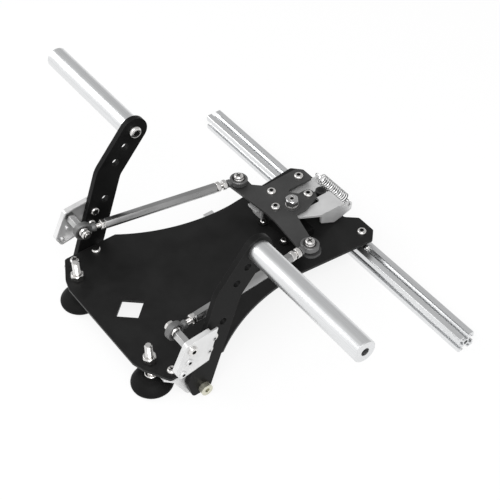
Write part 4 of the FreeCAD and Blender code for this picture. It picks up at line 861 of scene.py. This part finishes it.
# %% Post, washer and nut
post_low, post_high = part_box("pivot_post")
POST_Y = (post_low.y + post_high.y) / 2
POST_RADIUS = 5 * MM
WASHER_LOW = CRANK_TOP + 0.9 * MM
WASHER_TOP = WASHER_LOW + 1.5 * MM
WASHER_RADIUS = 7.2 * MM
NUT_TOP = WASHER_TOP + NUT_HEIGHT
SOCKET_FLATS = 4 * MM
SOCKET_FLOOR = NUT_TOP - 3 * MM
post_profile = [(POST_RADIUS - 0.4 * MM, post_low.z), (POST_RADIUS, post_low.z + 0.4 * MM)]
post_profile += [(POST_RADIUS, WASHER_LOW)] + thread(M8_RADIUS, WASHER_LOW, NUT_TOP - 0.6 * MM, M8_PITCH)
post = turn("post", post_profile + [(M8_RADIUS - 1 * MM, NUT_TOP - 0.2 * MM)], 48)
cut(post, prism(SOCKET_FLATS, SOCKET_FLOOR, NUT_TOP + MM))
paint_recess_shade(post, 0.6 * SOCKET_FLATS, SOCKET_FLOOR)
washer = soften(turn("post_washer", [(WASHER_RADIUS, WASHER_LOW), (WASHER_RADIUS, WASHER_TOP)], 64))
nut = hexagon_nut("post_nut", M8_FLATS, WASHER_TOP, NUT_TOP, M8_RADIUS - 0.6 * MM)
for piece in (post, washer, nut):
    settle(piece, (0, POST_Y, 0))
    dress(piece, "standoff" if piece is nut else "zinc", "base", ("pivot_post",))
print("post nut ends at", round(NUT_TOP / MM, 1))


# %% [markdown]
# The spring is wound wire. A screw modifier could wind it, but a path through worked-out points also takes in
# the hooks. It is cut at its middle into two halves.

# %% Spring
spring_low, spring_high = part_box("spring")
SPRING_Y = (spring_low.y + spring_high.y) / 2
SPRING_Z = 55.4 * MM
COIL_RADIUS = 6.5 * MM
COIL_END = 20.5 * MM
WIRE = 0.62 * MM
HOOK_X = 26.5 * MM
HOOK_RADIUS = 3.4 * MM
HOOK_ANGLES = range(180, -151, -22)
TURNS_EACH_WAY = 7
STEPS = 16


def half_spring(side, sign):
    points = []
    for step in range(TURNS_EACH_WAY * STEPS + 1):
        turn_now = sign * 2 * math.pi * step / STEPS - math.pi / 2
        x = sign * COIL_END * step / (TURNS_EACH_WAY * STEPS)
        points.append((x, COIL_RADIUS * math.cos(turn_now), COIL_RADIUS * math.sin(turn_now)))
    for angle in HOOK_ANGLES:
        bend = math.radians(angle)
        points.append((sign * (HOOK_X + HOOK_RADIUS * math.cos(bend)), 0, -HOOK_RADIUS * math.sin(bend)))
    deselect()
    bpy.ops.curve.primitive_nurbs_path_add()
    wire = bpy.context.object
    wire.name = f"spring_{side}"
    wire.data.splines.clear()
    spline = wire.data.splines.new("NURBS")
    spline.points.add(len(points) - 1)
    for point, place in zip(spline.points, points):
        point.co = (*place, 1)
    spline.order_u = 3
    spline.use_endpoint_u = True
    wire.data.resolution_u = 2
    wire.data.bevel_depth = WIRE
    wire.data.bevel_resolution = 2
    wire.data.use_fill_caps = True
    choose(wire)
    bpy.ops.object.convert(target="MESH")
    wire = bpy.context.object
    return settle(wire, (0, SPRING_Y, SPRING_Z))


# %% [markdown]
# Inside the coil the wire gets painted shade, darker than outside. A mask by the distance from the coil's axis
# gives that, and the hooks past its ends stay bright.

# %% Painted shade inside the spring coil
def shade_inside(material):
    """Paint shade on the wire on the side that faces the axis of the coil."""
    nodes, links = material.node_tree.nodes, material.node_tree.links
    place = nodes.new("ShaderNodeTexCoord")
    centred = nodes.new("ShaderNodeMapping")
    centred.inputs["Location"].default_value = (0, -SPRING_Y, -SPRING_Z)
    centred.inputs["Scale"].default_value = (0, 1, 1)
    reach = nodes.new("ShaderNodeVectorMath")
    reach.operation = "LENGTH"
    outside = nodes.new("ShaderNodeMapRange")
    outside.inputs["From Min"].default_value = COIL_RADIUS - 0.4 * MM
    outside.inputs["From Max"].default_value = COIL_RADIUS + 0.1 * MM
    parts = nodes.new("ShaderNodeSeparateXYZ")
    sideways = nodes.new("ShaderNodeMath")
    sideways.operation = "ABSOLUTE"
    hook = nodes.new("ShaderNodeMath")
    hook.operation = "GREATER_THAN"
    hook.inputs[1].default_value = COIL_END
    bright = nodes.new("ShaderNodeMath")
    bright.operation = "MAXIMUM"
    links.new(place.outputs["Object"], centred.inputs["Vector"])
    links.new(centred.outputs["Vector"], reach.inputs[0])
    links.new(reach.outputs["Value"], outside.inputs["Value"])
    links.new(place.outputs["Object"], parts.inputs["Vector"])
    links.new(parts.outputs["X"], sideways.inputs[0])
    links.new(sideways.outputs["Value"], hook.inputs[0])
    links.new(outside.outputs["Result"], bright.inputs[0])
    links.new(hook.outputs["Value"], bright.inputs[1])
    shader = nodes["Principled BSDF"]
    colour = shader.inputs["Base Color"].links[0].from_socket
    # Painted shade: dark grey on the inner side of the coil, where the other turns shade the wire.
    shaded = mix_colours(material, bright.outputs["Value"], grey(0.03), colour)
    links.new(shaded, shader.inputs["Base Color"])


shade_inside(FINISHES["spring_wire"])
for side, sign in SIDES:
    wire = dress(half_spring(side, sign), "spring_wire", stands_for=("spring",))
    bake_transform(wire)
    print(wire.name, "faces:", len(wire.data.polygons))


# %% [markdown]
# The socket for the lead is a thin metal shell. A dark block inside stands for the part that carries the
# contacts. A box with rounded edges is enough for it.

# %% Contact block in the lead socket
socket_low, socket_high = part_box("lead_socket")
BLOCK_SIZE = (5 * MM, 5.6 * MM, 3.2 * MM)
BLOCK_SUNK = 6.2 * MM
deselect()
bpy.ops.mesh.primitive_cube_add(size=1)
block = bpy.context.object
block.name = "socket_block"
block.scale = BLOCK_SIZE
block.location = (socket_low + socket_high) / 2
block.location.x = socket_high.x - BLOCK_SUNK
bpy.ops.object.transform_apply(location=True, rotation=True, scale=True)
soften(block, 0.3 * MM)
settle(block)
dress(block, "plastic", "base")
print("contact block:", round(BLOCK_SUNK / MM, 1), "behind the mouth of its shell")


# %% [markdown]
# The photograph is a studio shot on white. The floor is pale and keeps a faint shadow: where the camera or a
# reflection sees it, most of its own shade gives way to plain white, which lifts the shadow as well.

# %% Floor
PAPER = (0.93, 0.93, 0.93, 1)
SHADOW_LIFT = 0.85
deselect()
bpy.ops.mesh.primitive_plane_add(size=12, location=(0, 0.1, -0.0002))
floor = bpy.context.object
floor.name = "floor"
paper = bpy.data.materials.new("floor_paper")
paper.use_nodes = True
paper_nodes, paper_links = paper.node_tree.nodes, paper.node_tree.links
paper_shader = paper_nodes["Principled BSDF"]
paper_shader.inputs["Base Color"].default_value = PAPER
paper_shader.inputs["Roughness"].default_value = 0.9
paper_shader.inputs["Specular IOR Level"].default_value = 0.1
floor.data.materials.append(paper)


def seen_directly(nodes, links, kinds):
    """One where the camera, a reflection or a clear piece looks, and zero for the light itself."""
    ray = nodes.new("ShaderNodeLightPath")
    total = ray.outputs[kinds[0]]
    for kind in kinds[1:]:
        either = nodes.new("ShaderNodeMath")
        either.operation = "MAXIMUM"
        links.new(total, either.inputs[0])
        links.new(ray.outputs[kind], either.inputs[1])
        total = either.outputs["Value"]
    return total


glow = paper_nodes.new("ShaderNodeEmission")
share = paper_nodes.new("ShaderNodeMath")
share.operation = "MULTIPLY"
share.inputs[1].default_value = SHADOW_LIFT
lifted = paper_nodes.new("ShaderNodeMixShader")
directly = seen_directly(paper_nodes, paper_links, ("Is Camera Ray", "Is Glossy Ray", "Is Transmission Ray"))
paper_links.new(directly, share.inputs[0])
paper_links.new(share.outputs["Value"], lifted.inputs["Fac"])
paper_links.new(paper_shader.outputs["BSDF"], lifted.inputs[1])
paper_links.new(glow.outputs["Emission"], lifted.inputs[2])
paper_links.new(lifted.outputs["Shader"], paper_nodes["Material Output"].inputs["Surface"])
print("floor turned white by", SHADOW_LIFT)

# %% [markdown]
# The world is white to the camera. To the light it is a tent with one bright wall in front of the pedals and
# a greyer roof, which is what gives turned metal its bright and grey bands.

# %% World
BRIGHT_SIDE = (-0.2, 0.85, -0.5)
world = bpy.data.worlds.new("studio")
bpy.context.scene.world = world
world.use_nodes = True
sky_nodes, sky_links = world.node_tree.nodes, world.node_tree.links
background = sky_nodes["Background"]
background.inputs["Color"].default_value = (1, 1, 1, 1)
direction = sky_nodes.new("ShaderNodeTexCoord")
facing = sky_nodes.new("ShaderNodeVectorMath")
facing.operation = "DOT_PRODUCT"
facing.inputs[1].default_value = BRIGHT_SIDE
tent = sky_nodes.new("ShaderNodeMapRange")
for label, value in (("From Min", -0.6), ("From Max", 0.3), ("To Min", 0.56), ("To Max", 1.0)):
    tent.inputs[label].default_value = value
level = sky_nodes.new("ShaderNodeMix")
level.inputs["B"].default_value = 1.0
sky_links.new(direction.outputs["Generated"], facing.inputs[0])
sky_links.new(facing.outputs["Value"], tent.inputs["Value"])
sky_links.new(tent.outputs["Result"], level.inputs["A"])
straight = seen_directly(sky_nodes, sky_links, ("Is Camera Ray", "Is Transmission Ray"))
sky_links.new(straight, level.inputs["Factor"])
sky_links.new(level.outputs["Result"], background.inputs["Strength"])
print("world:", world.name)


# %% [markdown]
# Two large soft boxes add direction: a stronger one from the camera's side of the pedals, and a weaker one
# from the other side.

# %% Lamps
LIT_PLACE = (0, 0.12, 0.05)


def lamp(name, place, target, size, power):
    light = bpy.data.lights.new(name, "AREA")
    light.shape = "RECTANGLE"
    light.size, light.size_y = size
    light.energy = power
    lamp_object = bpy.data.objects.new(name, light)
    bpy.context.scene.collection.objects.link(lamp_object)
    lamp_object.location = place
    lamp_object.rotation_euler = (Vector(target) - Vector(place)).to_track_quat("-Z", "Y").to_euler()
    return lamp_object


key = lamp("key_soft_box", place=(-0.9, 0.7, 1.4), target=LIT_PLACE, size=(1.2, 0.8), power=16)
rim = lamp("rim_soft_box", place=(1.1, 0.9, 1.0), target=LIT_PLACE, size=(1.0, 0.6), power=6)
print("lamps:", key.name, rim.name)

# %% [markdown]
# The camera looks from the place that the photograph was taken from. That place was fitted to the crossbar,
# the foot bars and the plate of the photograph, which also gave the small roll.

# %% Camera
AZIMUTH, ELEVATION, ROLL = math.radians(234.96), math.radians(45.39), math.radians(-1.51)
DISTANCE = 1.29695
TARGET = Vector((-0.02515, 0.12633, 0.060))
SENSOR_WIDTH, LENS = 36, 89.27
back = Vector((
    math.sin(AZIMUTH) * math.cos(ELEVATION), -math.cos(AZIMUTH) * math.cos(ELEVATION), math.sin(ELEVATION)))
right = (-back).cross(UP).normalized()
above = right.cross(-back)
rolled_right = right * math.cos(ROLL) + above * math.sin(ROLL)
rolled_above = above * math.cos(ROLL) - right * math.sin(ROLL)
camera = bpy.data.objects.new("camera", bpy.data.cameras.new("camera"))
bpy.context.scene.collection.objects.link(camera)
camera.data.sensor_width = SENSOR_WIDTH
camera.data.lens = LENS
camera.matrix_world = Matrix.Translation(TARGET + back * DISTANCE) @ Matrix(
    (rolled_right, rolled_above, back)).transposed().to_4x4()
bpy.context.scene.camera = camera
bpy.context.scene.view_settings.view_transform = "Standard"
print("camera:", [round(value, 3) for value in camera.matrix_world.translation])
